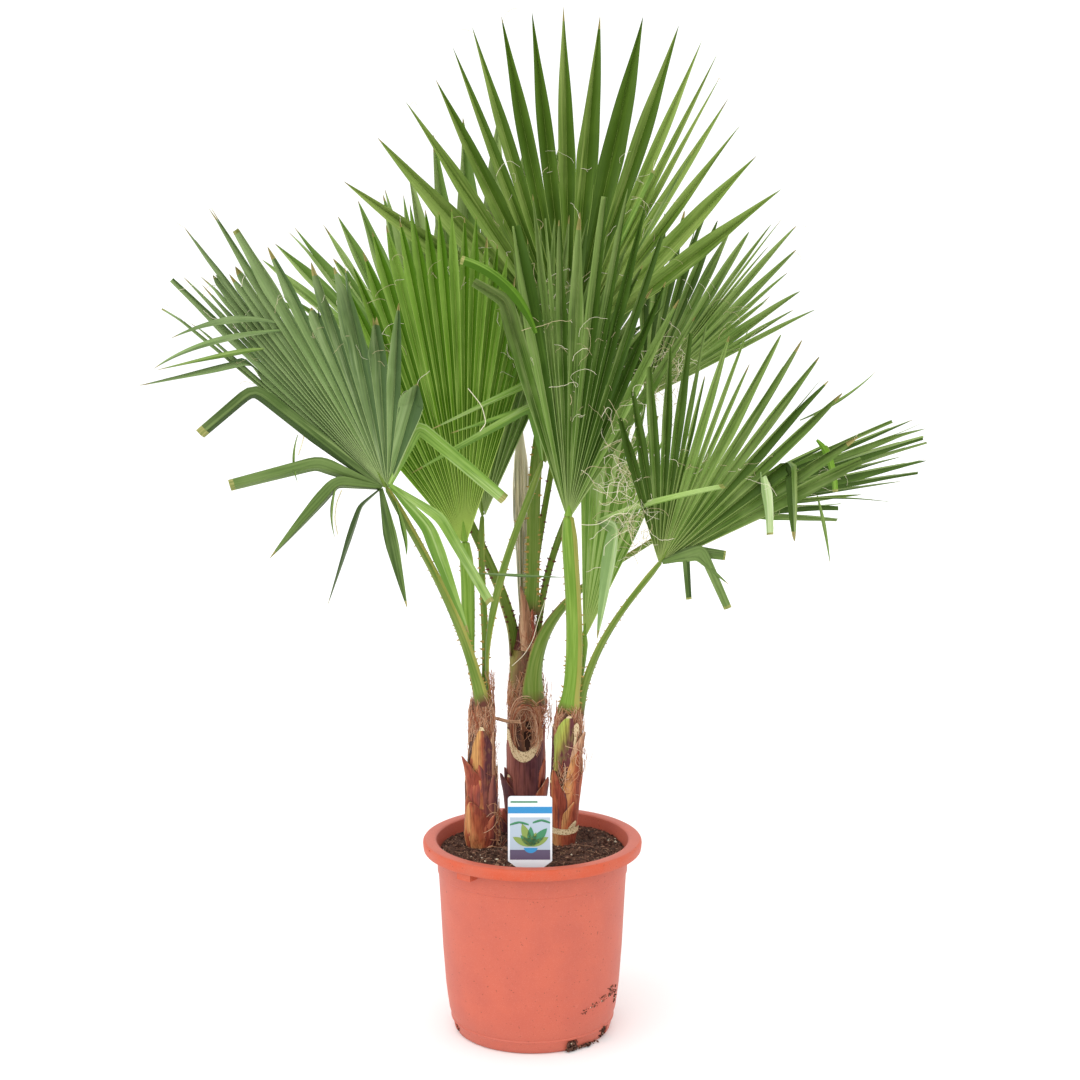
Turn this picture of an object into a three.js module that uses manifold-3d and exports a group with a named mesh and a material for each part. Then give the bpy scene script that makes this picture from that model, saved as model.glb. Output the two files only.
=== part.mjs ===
// A potted fan palm: three leaning stems from one root, eleven visible fronds and one at the back, in a round
// nursery pot filled with soil, with a blank plant card. Millimetres, +Z up, origin at the middle of the pot's
// flat underside; the front of the plant faces -Y.
import * as THREE from "three";
import Module from "manifold-3d";

const wasm = await Module();
wasm.setup();

const GAP = 0.4; // clear space left between neighbours
const DOWN = new THREE.Vector3(0, 0, -1);

// Pot: outer radius at each height, from the foot to just under the rim
const POT = {
  foot: 120.8,
  wall: 4,
  floor: 5,
  body: [[0, 120], [2.5, 122], [14, 125], [19, 127.2], [20.5, 126.6], [34, 130.4], [74, 135.6], [132, 139.9],
    [204, 143.4], [253, 146], [256, 147.2], [284, 148]],
  rimTop: 304,
  rimLow: 286.5,
  rimRadius: 170,
  lip: 3.2,
  sides: 48,
  slots: [19, 61, 119, 161, 199, 299, 335],
  slot: [14, 26, 17],
};
const SOIL = { base: 6.5, level: 284, crown: 4, bump: 3.2, rings: 5, sides: 48 };
const CARD = { width: 66, top: 404, shoulder: 306, foot: 262, thick: 1.6, x: -3, y: -127.5, lean: 4,
  corner: 5 };

// Stems: rings of [height, radius] up the stem, and how far the top stands from the foot in x and y
const STEMS = {
  left: { at: [-80, 18], top: [2, 1], sides: 14,
    rings: [[236, 24], [285, 28], [330, 26], [400, 23], [460, 21.5], [505, 21], [517, 19.5]] },
  middle: { at: [-12, 101], top: [3, 8], sides: 14,
    rings: [[236, 28], [285, 32], [342, 31.5], [420, 31], [490, 31.5], [500, 30.5], [500.5, 22], [574, 21.5],
      [577, 20.5], [577.5, 13.5], [632, 14], [640, 14]] },
  right: { at: [48, 28], top: [9, 0], sides: 14,
    rings: [[236, 21], [285, 24], [330, 24], [400, 23.5], [460, 23], [488, 22.5], [496, 21]] },
};
// Cut leaf bases that clasp the stems: [stem, compass degrees, foot height, length, width, flare]
const BOOTS = [
  ["left", 250, 402, 112, 30, 5], ["left", 190, 352, 78, 30, 15], ["left", 290, 300, 92, 38, 7],
  ["left", 20, 330, 96, 34, 8], ["left", 120, 372, 90, 32, 7],
  ["middle", 262, 372, 92, 46, 9], ["middle", 200, 318, 84, 40, 14], ["middle", 320, 305, 92, 42, 10],
  ["middle", 20, 372, 84, 42, 9], ["middle", 105, 350, 96, 44, 9],
  ["right", 232, 396, 96, 28, 6], ["right", 335, 386, 84, 30, 9], ["right", 285, 300, 100, 36, 6],
  ["right", 180, 318, 84, 30, 10], ["right", 75, 352, 96, 34, 8],
];

// Fronds. hub: where stalk meets blade. mid and side: the blade's middle and sideways directions. count:
// leaflets, dealt over the bearings of `fan`, in degrees off the middle. reach: leaflet length, and split: how
// far out neighbours part. These three lists are read evenly from the first leaflet to the last. sag: fall of
// the whole blade; limp: extra fall of the tips; cup: forward curl of the edges; blunt: share of torn tips;
// folds: leaflets broken over [index, share, x, y, z]. stalk: [stem, foot x, y, z, foot width, hub width],
// with its two bends.
const FRONDS = {
  left_low: { hub: [-207, -150, 866], mid: [-0.435, -0.227, 0.871], side: [0.889, -0.26, 0.376], count: 11,
    fan: [-23.8, -19.5, -14.6, -6.2, 6.8, 22.3, 49.5], reach: [410, 430, 410, 481, 451, 345, 330, 178],
    split: [0.6, 0.62, 0.66, 0.7, 0.66, 0.8], sag: 0, limp: 0.02, cup: 0, blunt: 0.3, seed: 12,
    folds: [[1, 0.6, -0.97, -0.1, -0.22]],
    stalk: ["left", 1, -13, 517, 22, 12], bends: [[-103, -23, 652], [-155, -87, 756]] },
  left_upright: { hub: [-102, -5, 763], mid: [-0.075, 0.099, 0.992], side: [0.997, 0.007, 0.075], count: 24,
    fan: [-36, -22, -9, 2, 12, 23], reach: [320, 400, 490, 518, 500, 440, 330],
    split: [0.76, 0.8, 0.82, 0.8, 0.78], sag: 0, limp: 0, cup: 0.1, blunt: 0, seed: 23, folds: [],
      stalk: ["left", -8, 1, 517, 19, 21],
    bends: [[-104, 20, 600], [-94, 12, 682]] },
  left_behind: { hub: [-77, 70, 793], mid: [-0.066, 0.298, 0.952], side: [0.998, 0.02, 0.063], count: 10,
    fan: [-15, 0, 16, 28], reach: [560, 640, 660, 600, 430], split: [0.6, 0.66, 0.7, 0.66, 0.6], sag: 0,
    limp: 0, cup: 0.02, blunt: 0, seed: 37, folds: [], stalk: ["left", 3, 13.5, 517, 12, 10],
    bends: [[-66, 37, 608], [-84, 53, 703]] },
  cross: { hub: [16, 30, 882], mid: [0.064, 0.099, 0.993], side: [0.998, -0.006, -0.064], count: 12,
    fan: [-16, 4, 36], reach: [300, 360, 380, 350, 300], split: [0.5, 0.55, 0.6, 0.55, 0.5], sag: 0,
      limp: 0.02,
    cup: 0.02, blunt: 0.2, seed: 41, folds: [], stalk: ["left", 13.5, 0, 517, 13, 10],
    bends: [[-85, 10, 649], [-29, 14, 767]] },
  back_left: { hub: [-163, 170, 969], mid: [-0.42, 0.603, 0.678], side: [0.891, 0.415, 0.184], count: 12,
    fan: [-37, -12.6, 10.4, 34], reach: [341, 391, 424, 417, 470, 477, 416], split: [0.5, 0.55,
      0.6, 0.55, 0.5],
    sag: 0, limp: 0.04, cup: 0, blunt: 0, seed: 53, folds: [], stalk: ["middle", -17.5, -3, 577.5, 18, 11],
    bends: [[-36, 95, 703], [-156, 157, 838]] },
  crown: { hub: [58, 105, 1052], mid: [0, 0.067, 0.998], side: [1, 0, 0], count: 19,
    fan: [-58.5, -37.8, -24.1, -16.1, -6, 4.7, 19.1, 26.1, 30.4, 40.4, 56.7],
    reach: [437, 459, 512, 515, 523, 513, 444, 403], split: [0.42, 0.5, 0.53, 0.5, 0.42], sag: 0, limp: 0,
      cup: 0,
    blunt: 0, seed: 67, folds: [], stalk: ["middle", 5.5, -2, 640, 18, 17],
    bends: [[8, 99, 777], [-16, 103, 922]] },
  back_right: { hub: [179, 185, 971], mid: [0.5, 0.574, 0.648], side: [0.842, -0.148, -0.518], count: 14,
    fan: [-32.9, -19.2, -9.8, 0, 4.8, 13.7, 25.6], reach: [362, 380, 384, 383, 451, 468, 361, 358],
    split: [0.5, 0.52, 0.55, 0.5, 0.5], sag: 0, limp: 0.03, cup: 0, blunt: 0.2, seed: 79, folds: [],
    stalk: ["middle", 17.8, 2, 577.5, 14, 10], bends: [[12, 117, 733], [80, 164, 860]] },
  far_right: { hub: [244, 70, 804], mid: [0.938, 0.106, 0.329], side: [0.135, 0.764, -0.631], count: 12,
    fan: [-13.9, -5.7, 4.8, 17.5, 23.7, 39.7], reach: [295, 363, 392, 392, 412, 392, 283, 307],
    split: [0.5, 0.55, 0.55, 0.5, 0.45], sag: 0, limp: 0.02, cup: 0, blunt: 0.3, seed: 83,
    folds: [[0, 0.75, 0.15, 0, -1]],
    stalk: ["middle", 12, -27, 500.5, 24, 9], bends: [[-10, 70, 682], [140, 68, 712]] },
  front: { hub: [53, -75, 812], mid: [0.079, 0.031, 0.996], side: [0.997, -0.002, -0.079], count: 13,
    fan: [-23.3, -10.7, -7.7, 2.4, 9.6, 18.8, 29.5], reach: [390, 481, 431, 450, 502, 456, 364, 355],
    split: [0.62, 0.6, 0.55, 0.5, 0.5], sag: 0, limp: 0.02, cup: 0, blunt: 0.3, seed: 97,
    folds: [[0, 0.82, -0.85, -0.1, 0.5]], stalk: ["right", -2, -10, 496, 25, 19],
    bends: [[74, 4, 607], [58, -25, 712]] },
  young: { hub: [79, 14, 613], mid: [0.1, -0.03, 0.994], side: [0.996, 0.02, -0.1], count: 8, fan: [-7, 20],
    reach: [380, 400, 395, 360, 300], split: [0.7, 0.72, 0.72, 0.7, 0.6], sag: 0, limp: 0.03, cup: 0,
      blunt: 0.2,
    seed: 101, folds: [], stalk: ["right", 4, 13, 496, 15, 14], bends: [[70, 42, 535], [78, 26, 578]] },
  right_low: { hub: [187, -120, 752], mid: [0.359, -0.261, 0.896], side: [0.929, 0.197, -0.314], count: 16,
    fan: [-38.5, -21.5, -7.9, 8.3, 23.9, 42.9], reach: [246, 313, 375, 365, 400, 368, 352, 330],
    split: [0.6, 0.5, 0.45, 0.45, 0.5, 0.6], sag: 0, limp: 0.03, cup: 0, blunt: 0.25, seed: 113,
    folds: [[13, 0.64, 0.04, -0.08, -1]],
    stalk: ["right", 16, 0, 496, 16, 10], bends: [[90, 14, 611], [146, -46, 683]] },
  back_low: { hub: [44, 215, 933], mid: [0.027, 0.798, 0.602], side: [1, -0.022, -0.016], count: 18,
    fan: [-50, 50], reach: [330, 390, 410, 390, 330], split: [0.5, 0.55, 0.6, 0.55, 0.5], sag: 0.08,
      limp: 0.16,
    cup: 0.08, blunt: 0.1, seed: 127, folds: [], stalk: ["middle", 0, 17.5, 577.5, 14, 10],
    bends: [[-5, 132, 696], [26, 186, 814]] },
};
const LEAF = { thick: 5.2, hubWeb: 0.5, free: [0, 0.5, 1], reachSpread: 0.03, splitSpread: 0.08, swing: 0.8,
  bendRun: 0.07, steps: 24 };

// Loose leaflets that hang from a frond: [bend x, y, z, tip x, y, z, width, blunt, creased]. A creased one is
// straight on both sides of its bend, and the others run in a smooth bow that the bend point pulls.
const STRIPS = {
  left_low_hanging: { frond: "left_low", from: [-216, -156, 869], side: [0.6, -0.2, 0.4], leaves: [
    [-303, -184, 907, -426, -200, 877, 30, 1, 1], [-276, -180, 880, -373, -190, 773, 30, 0, 1],
    [-386, -222, 1016, -461, -226, 953, 26, 1, 1], [-243, -176, 847, -293, -185, 702, 28, 0, 1],
    [-204, -173, 817, -179, -175, 698, 22, 0, 1]] },
  left_low_inner: { frond: "left_low", from: [-203, -160, 875], side: [0.8, 0.2, 0.5], leaves: [
    [-150, -150, 812, -93, -95, 643, 22, 0, 1], [-132, -148, 826, -62, -90, 690, 18, 1, 1],
    [-162, -150, 958, -39, -120, 848, 22, 1, 1]] },
  cross_loose: { frond: "cross", from: [15, 24, 889], side: [0.7, 0, 0.7], leaves: [
    [6, -16, 1014, -152, -60, 943, 15, 0, 1], [4, -12, 976, -178, -60, 880, 16, 0, 1],
    [-2, -10, 972, -121, -50, 938, 13, 0, 1]] },
  right_low_hanging: { frond: "right_low", from: [190, -128, 757], side: [0.8, -0.2, -0.3], leaves: [
    [224, -134, 765, 229, -138, 704, 12, 1, 1], [246, -140, 778, 285, -142, 691, 16, 1, 1],
    [236, -134, 774, 281, -138, 768, 20, 1, 1], [240, -138, 766, 286, -146, 727, 9, 0, 1]] },
  young_loose: { frond: "young", from: [100, 2.2, 800], side: [0.4, 0, 0.9], leaves: [
    [176, -45, 837, 285, -60, 859, 18, 0], [124, -44, 796, 98, -44, 626, 22, 0, 1]] },
};
const SPEAR = { at: [-20, 112, 640], top: [-22, 121, 926], wide: 7.5, sides: 8 };

const COLOURS = { pot: 0xd9755c, soil: 0x4b372e, card: 0xf4f6f5, husk: 0x7d4334, stalk: 0x8fa236,
  spear: 0x9b8f70,
  leaf: 0x4e7118, greyLeaf: 0x69804e, darkLeaf: 0x425f16 };

const V = (a) => new THREE.Vector3(...a);
const radians = THREE.MathUtils.degToRad;
const mix = (a, b, t) => a + (b - a) * t;
const smooth = (x) => { const t = Math.min(1, Math.max(0, x)); return t * t * (3 - 2 * t); };

/** Repeatable chance between 0 and 1. */
function chance(seed) {
  let state = seed;
  return () => (state = (state * 1664525 + 1013904223) % 4294967296) / 4294967296;
}

/** Value at share t of a list read evenly from end to end. */
function along(list, t) {
  const x = Math.min(Math.max(t, 0), 1) * (list.length - 1), i = Math.min(Math.floor(x), list.length - 2);
  return mix(list[i], list[i + 1], x - i);
}

/** Closed mesh data from points and triangles, as a solid for cutting and joining. */
function solid(points, triangles) {
  const vertProperties = new Float32Array(points.length * 3);
  points.forEach((p, i) => vertProperties.set([p.x, p.y, p.z], i * 3));
  const made = new wasm.Manifold(new wasm.Mesh({ numProp: 3, vertProperties,
    triVerts: new Uint32Array(triangles) }));
  return made.volume() >= 0 ? made : solid(points, triangles.slice().reverse());
}

/** The largest body of a solid. */
function largest(made) {
  return made.decompose().sort((a, b) => b.volume() - a.volume())[0];
}

/** A three.js geometry as a solid. */
function solidOf(geometry) {
  const soup = geometry.index ? geometry.toNonIndexed() : geometry;
  const place = soup.getAttribute("position"), seen = new Map(), points = [], triangles = [];
  for (let i = 0; i < place.count; i++) {
    const p = new THREE.Vector3().fromBufferAttribute(place, i);
    const key = [p.x, p.y, p.z].map((c) => Math.round(c * 1e4)).join();
    if (!seen.has(key)) { seen.set(key, points.length); points.push(p); }
    triangles.push(seen.get(key));
  }
  const kept = [];
  for (let i = 0; i < triangles.length; i += 3) {
    const [a, b, c] = triangles.slice(i, i + 3);
    if (a !== b && b !== c && a !== c) kept.push(a, b, c);
  }
  return solid(points, kept);
}

/** Closed body through stacked rings of equal count; a ring is a list of points, one point for a pointed end. */
function skin(rings) {
  const points = [], triangles = [], starts = [];
  rings.forEach((ring) => { starts.push(points.length); points.push(...ring); });
  for (let k = 0; k + 1 < rings.length; k++) {
    const n = Math.max(rings[k].length, rings[k + 1].length), a = starts[k], b = starts[k + 1];
    for (let i = 0; i < n; i++) {
      const j = (i + 1) % n;
      if (rings[k + 1].length === 1) triangles.push(a + i, a + j, b);
      else if (rings[k].length === 1) triangles.push(a, b + j, b + i);
      else triangles.push(a + i, a + j, b + j, a + i, b + j, b + i);
    }
  }
  const cap = (start, n, turn) => {
    for (let i = 1; i + 1 < n; i++) {
      triangles.push(start, start + (turn ? i + 1 : i), start + (turn ? i : i + 1));
    }
  };
  if (rings[0].length > 1) cap(starts[0], rings[0].length, true);
  if (rings.at(-1).length > 1) cap(starts.at(-1), rings.at(-1).length, false);
  return solid(points, triangles);
}

/** Oval ring around a centre in the plane of two directions. */
function oval(centre, across, through, a, b, sides) {
  return Array.from({ length: sides }, (_, i) => {
    const t = (2 * Math.PI * (i + 0.5)) / sides;
    return centre.clone().addScaledVector(across, a * Math.cos(t)).addScaledVector(through, b * Math.sin(t));
  });
}

/** Pot with its rolled rim, hollow lip and drain slots round the foot. */
function makePot() {
  const { body, wall, floor, rimTop, rimLow, rimRadius, lip, sides, slots, slot } = POT;
  const plain = body.filter(([z]) => z > 30 && z !== 256 && z !== 253);
  const inner = plain.map(([z, r]) => [z, r - wall]).reverse();
  const profile = [[0, 0], ...body, [rimTop - 10, 150.5], [rimTop - 6, 154],
    [rimTop - 5.2, rimRadius - lip - 2],
    [rimLow + 1.5, rimRadius - lip - 2.6], [rimLow, rimRadius - 4], [rimLow + 1.5, rimRadius - 1.6],
    [rimTop - 5, rimRadius], [rimTop - 1.2, rimRadius - 2.6], [rimTop, rimRadius - 7], [rimTop, 151],
    [rimTop - 1.6, 148.6], ...inner, [floor + 9, 121], [floor, 114], [floor, 0]];
  const shell = new THREE.LatheGeometry(profile.map(([z, r]) => new THREE.Vector2(r, z)), sides);
  shell.rotateX(Math.PI / 2);
  let pot = solidOf(shell);
  slots.forEach((compass) => {
    const cut = new THREE.BoxGeometry(slot[1], slot[0], slot[2] * 2);
    cut.translate(POT.foot + 1, 0, 0).rotateZ(radians(compass));
    pot = pot.subtract(solidOf(cut));
  });
  return pot;
}

/** Height of the soil at a distance and angle from the pot's middle. */
function soilTop(r, angle) {
  const wave = Math.sin(3 * angle + r / 23) + Math.sin(5 * angle - r / 17) * 0.7
    + Math.cos(r / 11 + 2 * angle) * 0.5;
  return SOIL.level + SOIL.crown * (1 - (r / 140) ** 2) + SOIL.bump * wave * Math.min(1, (r + 20) / 60) * 0.6;
}

/** Soil that fills the pot, clear of its wall, with pockets for the stems and the card. */
function makeSoil(stems, card) {
  const { rings, sides, base, level } = SOIL;
  const wallAt = (z) => {
    const list = POT.body, i = Math.max(1, list.findIndex(([h]) => h >= z));
    const [z0, r0] = list[i - 1], [z1, r1] = list[i];
    return mix(r0, r1, (z - z0) / (z1 - z0)) - POT.wall - 0.8;
  };
  const round = (r, heights) => Array.from({ length: sides }, (_, i) => {
    const t = (2 * Math.PI * i) / sides;
    return new THREE.Vector3(r * Math.cos(t), r * Math.sin(t), heights(r, t));
  });
  const stack = [[new THREE.Vector3(0, 0, base)], round(108, () => base), round(117, () => 17),
    ...[40, 100, 190, level - 8].map((z) => round(wallAt(z), () => z))];
  for (let k = rings; k > 0; k--) stack.push(round((wallAt(level - 8) * k) / rings - (k === rings ? 1 : 0),
    soilTop));
  stack.push([new THREE.Vector3(0, 0, soilTop(0, 0))]);
  let soil = skin(stack);
  [...stems, card].forEach((s) => { soil = soil.subtract(s); });
  return largest(soil);
}

/** Middle of a stem at a height. */
function stemMiddle(stem, z) {
  const low = stem.rings[1][0], high = stem.rings.at(-1)[0], t = Math.max(0, (z - low) / (high - low));
  return new THREE.Vector3(stem.at[0] + stem.top[0] * t, stem.at[1] + stem.top[1] * t, z);
}

/** Radius of a stem at a height. */
function stemRadius(stem, z) {
  const i = Math.max(1, stem.rings.findIndex(([h]) => h >= z));
  const [z0, r0] = stem.rings[i - 1], [z1, r1] = stem.rings[i];
  return mix(r0, r1, (z - z0) / (z1 - z0));
}

/** Plain stem, grown outward by `extra` for the pocket it stands in. */
function stemCore(stem, extra = 0) {
  const rings = stem.rings.filter(([z]) => !extra || z < 345);
  return skin(rings.map(([z, r], k) => oval(stemMiddle(stem, z - (extra && k === 0 ? extra : 0)),
    new THREE.Vector3(1, 0, 0), new THREE.Vector3(0, 1, 0), r + extra, r + extra, stem.sides)));
}

/** One cut leaf base that rises from the stem, wraps round it and flares at its slanting top. */
function boot([name, compass, foot, length, width, flare]) {
  const stem = STEMS[name], turn = radians(compass);
  const out = new THREE.Vector3(Math.cos(turn), Math.sin(turn), 0);
  const side = new THREE.Vector3(-out.y, out.x, 0);
  const stations = [[0, 0.55, -3], [0.3, 1, 0], [0.65, 0.8, flare * 0.35], [1, 0.12, flare]];
  return skin(stations.map(([t, wide, lift]) => {
    const z = foot + length * t, middle = stemMiddle(stem, z), r = stemRadius(stem, z);
    const half = (width / 2) * wide, thick = mix(3.4, 1.6, t), curl = half / (r + lift + 4);
    const at = (bend, depth, tilt) => middle.clone().addScaledVector(out, (r + lift + depth) * Math.cos(bend))
      .addScaledVector(side, (r + lift + depth) * Math.sin(bend)).setZ(z + tilt);
    return [at(-curl, -thick, 0), at(-curl, thick, 0), at(0, thick + 1.2, length * 0.05), at(curl, thick, 0),
      at(curl, -thick, 0), at(0, -thick - 3, length * 0.05)];
  }));
}

/** A whole stem with its boots. */
function makeStem(name) {
  let stem = stemCore(STEMS[name]);
  BOOTS.filter((b) => b[0] === name).forEach((b) => { stem = stem.add(boot(b)); });
  return largest(stem);
}

/** The layout of one fan: every leaflet and the places where neighbours part. */
function fanOf(f) {
  const roll = chance(f.seed), mid = V(f.mid).normalize(), side = V(f.side);
  side.addScaledVector(mid, -side.dot(mid)).normalize();
  const face = side.clone().cross(mid), leaves = [], cuts = [];
  for (let i = 0; i < f.count; i++) {
    const t = i / (f.count - 1);
    leaves.push({ angle: along(f.fan, (i + 0.5) / f.count),
      reach: along(f.reach, t) * (1 + (roll() - 0.5) * LEAF.reachSpread), swing: (roll() - 0.5) * LEAF.swing,
      blunt: roll() < f.blunt, limp: f.limp * (0.6 + 0.8 * roll()), fold: f.folds.find((b) => b[0] === i) });
  }
  for (let j = 0; j <= f.count; j++) {
    const shorter = Math.min(leaves[Math.max(j - 1, 0)].reach, leaves[Math.min(j, f.count - 1)].reach);
    cuts.push({ angle: along(f.fan, j / f.count),
      out: shorter * (along(f.split, j / f.count) + (roll() - 0.5) * LEAF.splitSpread) });
  }
  return { ...f, hub: V(f.hub), mid, side, face, leaves, cuts, long: Math.max(...f.reach) };
}

/** Unit direction in the fan at an angle off its middle. */
function rayAt(fan, angle) {
  const t = radians(angle);
  return fan.mid.clone().multiplyScalar(Math.cos(t)).addScaledVector(fan.side, Math.sin(t))
    .addScaledVector(fan.face, fan.cup * Math.sin(t) ** 2).normalize();
}

/** Point of the joined web at an angle and a distance from the hub. */
function webAt(fan, angle, out) {
  return fan.hub.clone().addScaledVector(rayAt(fan, angle), out)
    .addScaledVector(DOWN, (fan.sag * out * out) / fan.long);
}

/** Stations down the free part of a leaflet: middle point, sideways direction and face, from split to tip. */
function freePath(fan, i) {
  const leaf = fan.leaves[i], start = (fan.cuts[i].out + fan.cuts[i + 1].out) / 2, run = leaf.reach - start;
  const place = webAt(fan, leaf.angle, start), across = new THREE.Vector3(), path = [];
  const ray = rayAt(fan, leaf.angle + leaf.swing);
  let heading = ray.clone();
  across.copy(heading).cross(fan.face).normalize();
  for (let k = 0; k <= LEAF.steps; k++) {
    const q = k / LEAF.steps, out = start + run * q, fall = leaf.limp * q * q;
    heading = ray.clone().addScaledVector(DOWN, (2 * fan.sag * out) / fan.long).normalize();
    heading.multiplyScalar(1 - fall).addScaledVector(DOWN, fall).normalize();
    if (leaf.fold) {
      const w = smooth((out / leaf.reach - leaf.fold[1]) / LEAF.bendRun);
      heading.multiplyScalar(1 - w).addScaledVector(V(leaf.fold.slice(2)).normalize(), w).normalize();
    }
    across.addScaledVector(heading, -across.dot(heading)).normalize();
    path.push({ q, place: place.clone(), across: across.clone(), face: across.clone().cross(heading) });
    place.addScaledVector(heading, run / LEAF.steps);
  }
  const half = start * Math.sin(radians((fan.cuts[i + 1].angle - fan.cuts[i].angle) / 2));
  return { path, half };
}

/** Fan blade as one closed body: joined web, then a free blade for each leaflet; grown by `extra`. */
function makeBlade(f, extra = 0) {
  const fan = fanOf(f), points = [], triangles = [];
  const thick = Math.max(LEAF.thick, fan.long * 0.0105) / 2 + extra;
  fan.hub.addScaledVector(fan.mid, -4 * extra);
  const pair = (place, face) => {
    points.push(place.clone().addScaledVector(face, thick), place.clone().addScaledVector(face, -thick));
    return points.length - 2;
  };
  const quad = (a, b, c, d) => triangles.push(a, b, c, a, c, d);
  const apex = pair(fan.hub, fan.face);
  const inner = fan.cuts.map((c) => pair(webAt(fan, c.angle, c.out * LEAF.hubWeb), fan.face));
  const outer = fan.cuts.map((c) => pair(webAt(fan, c.angle, c.out), fan.face));
  const edge = (a, b, left) => (left ? quad(a, b, b + 1, a + 1) : quad(b, a, a + 1, b + 1));
  edge(apex, inner[0], true);
  edge(inner[0], outer[0], true);
  edge(apex, inner.at(-1), false);
  edge(inner.at(-1), outer.at(-1), false);
  fan.leaves.forEach((leaf, i) => {
    const [a, b, c, d] = [inner[i], inner[i + 1], outer[i + 1], outer[i]];
    triangles.push(apex, b, a, apex + 1, a + 1, b + 1);
    quad(a, b, c, d);
    quad(a + 1, d + 1, c + 1, b + 1);
    const { path, half } = freePath(fan, i);
    const shares = leaf.fold ? [0, ...foldShares(fan, i), 1] : LEAF.free;
    let [l, r] = [d, c];
    shares.slice(1).forEach((q, k) => {
      const s = path[Math.round(q * LEAF.steps)], last = k === shares.length - 2;
      if (last && !leaf.blunt) {
        points.push(s.place.clone());
        const tip = points.length - 1;
        triangles.push(l, r, tip, r + 1, l + 1, tip, l + 1, l, tip, r, r + 1, tip);
        return;
      }
      const wide = half * (leaf.blunt ? 1 - 0.6 * q : (1 - q) ** 0.5);
      const nl = pair(s.place.clone().addScaledVector(s.across, -wide), s.face);
      const nr = pair(s.place.clone().addScaledVector(s.across, wide), s.face);
      quad(l, r, nr, nl);
      quad(l + 1, nl + 1, nr + 1, r + 1);
      edge(l, nl, true);
      edge(r, nr, false);
      if (last) quad(nl, nr, nr + 1, nl + 1);
      [l, r] = [nl, nr];
    });
  });
  return solid(points, triangles);
}

/** Shares of a folded leaflet's free part at the two ends of its fold. */
function foldShares(fan, i) {
  const leaf = fan.leaves[i], start = (fan.cuts[i].out + fan.cuts[i + 1].out) / 2 / leaf.reach;
  const at = (s) => Math.min(0.9, Math.max(0.08, (s - start) / (1 - start)));
  return [at(leaf.fold[1]), at(leaf.fold[1] + LEAF.bendRun)];
}

/** Stalk from its stem to the hub: a curved taper, broad and flat at the stem; grown by `extra`. */
function makeStalk(f, extra = 0) {
  const [name, x, y, z, wide, narrow] = f.stalk;
  const foot = stemMiddle(STEMS[name], z).add(new THREE.Vector3(x, y, GAP));
  const end = V(f.hub).addScaledVector(V(f.mid).normalize(), f.grip ?? 8);
  const curve = new THREE.CubicBezierCurve3(foot, V(f.bends[0]), V(f.bends[1]), end);
  const side = V(f.side), clasp = new THREE.Vector3(-y, x, 0).normalize(), rings = [], count = 8;
  if (clasp.dot(side) < 0) clasp.negate();
  for (let k = 0; k <= count; k++) {
    const t = k / count, heading = k === 0 ? new THREE.Vector3(0, 0, 1) : curve.getTangent(t);
    const across = clasp.clone().lerp(side, smooth(t * 1.4));
    across.addScaledVector(heading, -across.dot(heading)).normalize();
    const through = heading.clone().cross(across), a = mix(wide, narrow, Math.min(1, t * 1.6)) / 2;
    const b = Math.max(3.4, a * mix(0.5, 0.75, t));
    rings.push(oval(curve.getPoint(t), across, through, a + extra, b + extra, 8));
  }
  return skin(rings);
}

/** One loose leaflet on a bent path. */
function strip(from, side, [cx, cy, cz, tx, ty, tz, width, blunt, creased]) {
  const bend = V([cx, cy, cz]), tip = V([tx, ty, tz]);
  const curve = creased ? new THREE.CurvePath() : new THREE.QuadraticBezierCurve3(from, bend, tip);
  if (creased) curve.curves.push(new THREE.LineCurve3(from, bend), new THREE.LineCurve3(bend, tip));
  const thick = Math.max(LEAF.thick, curve.getLength() * 0.0105) / 2, rings = [];
  const across = side.clone(), fold = from.distanceTo(bend) / curve.getLength();
  const shares = creased ? [0, 0.3, fold - 0.03, fold + 0.03, 1] : [0, 0.2, 0.4, 0.6, 0.8, 1];
  shares.forEach((t) => {
    const heading = curve.getTangent(t), place = curve.getPoint(t);
    across.addScaledVector(heading, -across.dot(heading)).normalize();
    if (t === 1 && !blunt) { rings.push([place]); return; }
    const face = across.clone().cross(heading);
    const tail = blunt ? 1 - 0.2 * t : Math.min(1, 1.5 * (1 - t)) ** 0.7;
    const half = (width / 2) * Math.min(1, 0.3 + t * 2.4) * tail;
    const at = (a, b) => place.clone().addScaledVector(across, a * half).addScaledVector(face, b * thick);
    rings.push([at(-1, -1), at(1, -1), at(1, 1), at(-1, 1)]);
  });
  return skin(rings);
}

/** A bunch of loose leaflets that share one root. */
function makeStrips({ frond, from, side, leaves }) {
  const bunch = leaves.map((leaf) => strip(V(from), V(side), leaf)).reduce((a, b) => a.add(b));
  return largest(bunch.subtract(makeBlade(FRONDS[frond], GAP)).subtract(makeStalk(FRONDS[frond], GAP)));
}

/** Withered spear of rolled young leaf on the middle stem. */
function makeSpear() {
  const low = V(SPEAR.at).setZ(SPEAR.at[2] + GAP), high = V(SPEAR.top), rings = [];
  [[0, 0.6], [0.15, 0.9], [0.55, 1], [0.85, 0.75], [1, 0.3]].forEach(([t, s]) => {
    rings.push(oval(low.clone().lerp(high, t), new THREE.Vector3(1, 0, 0), new THREE.Vector3(0, 1, 0),
      SPEAR.wide * s, SPEAR.wide * s * 0.8, SPEAR.sides));
  });
  return skin(rings);
}

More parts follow.
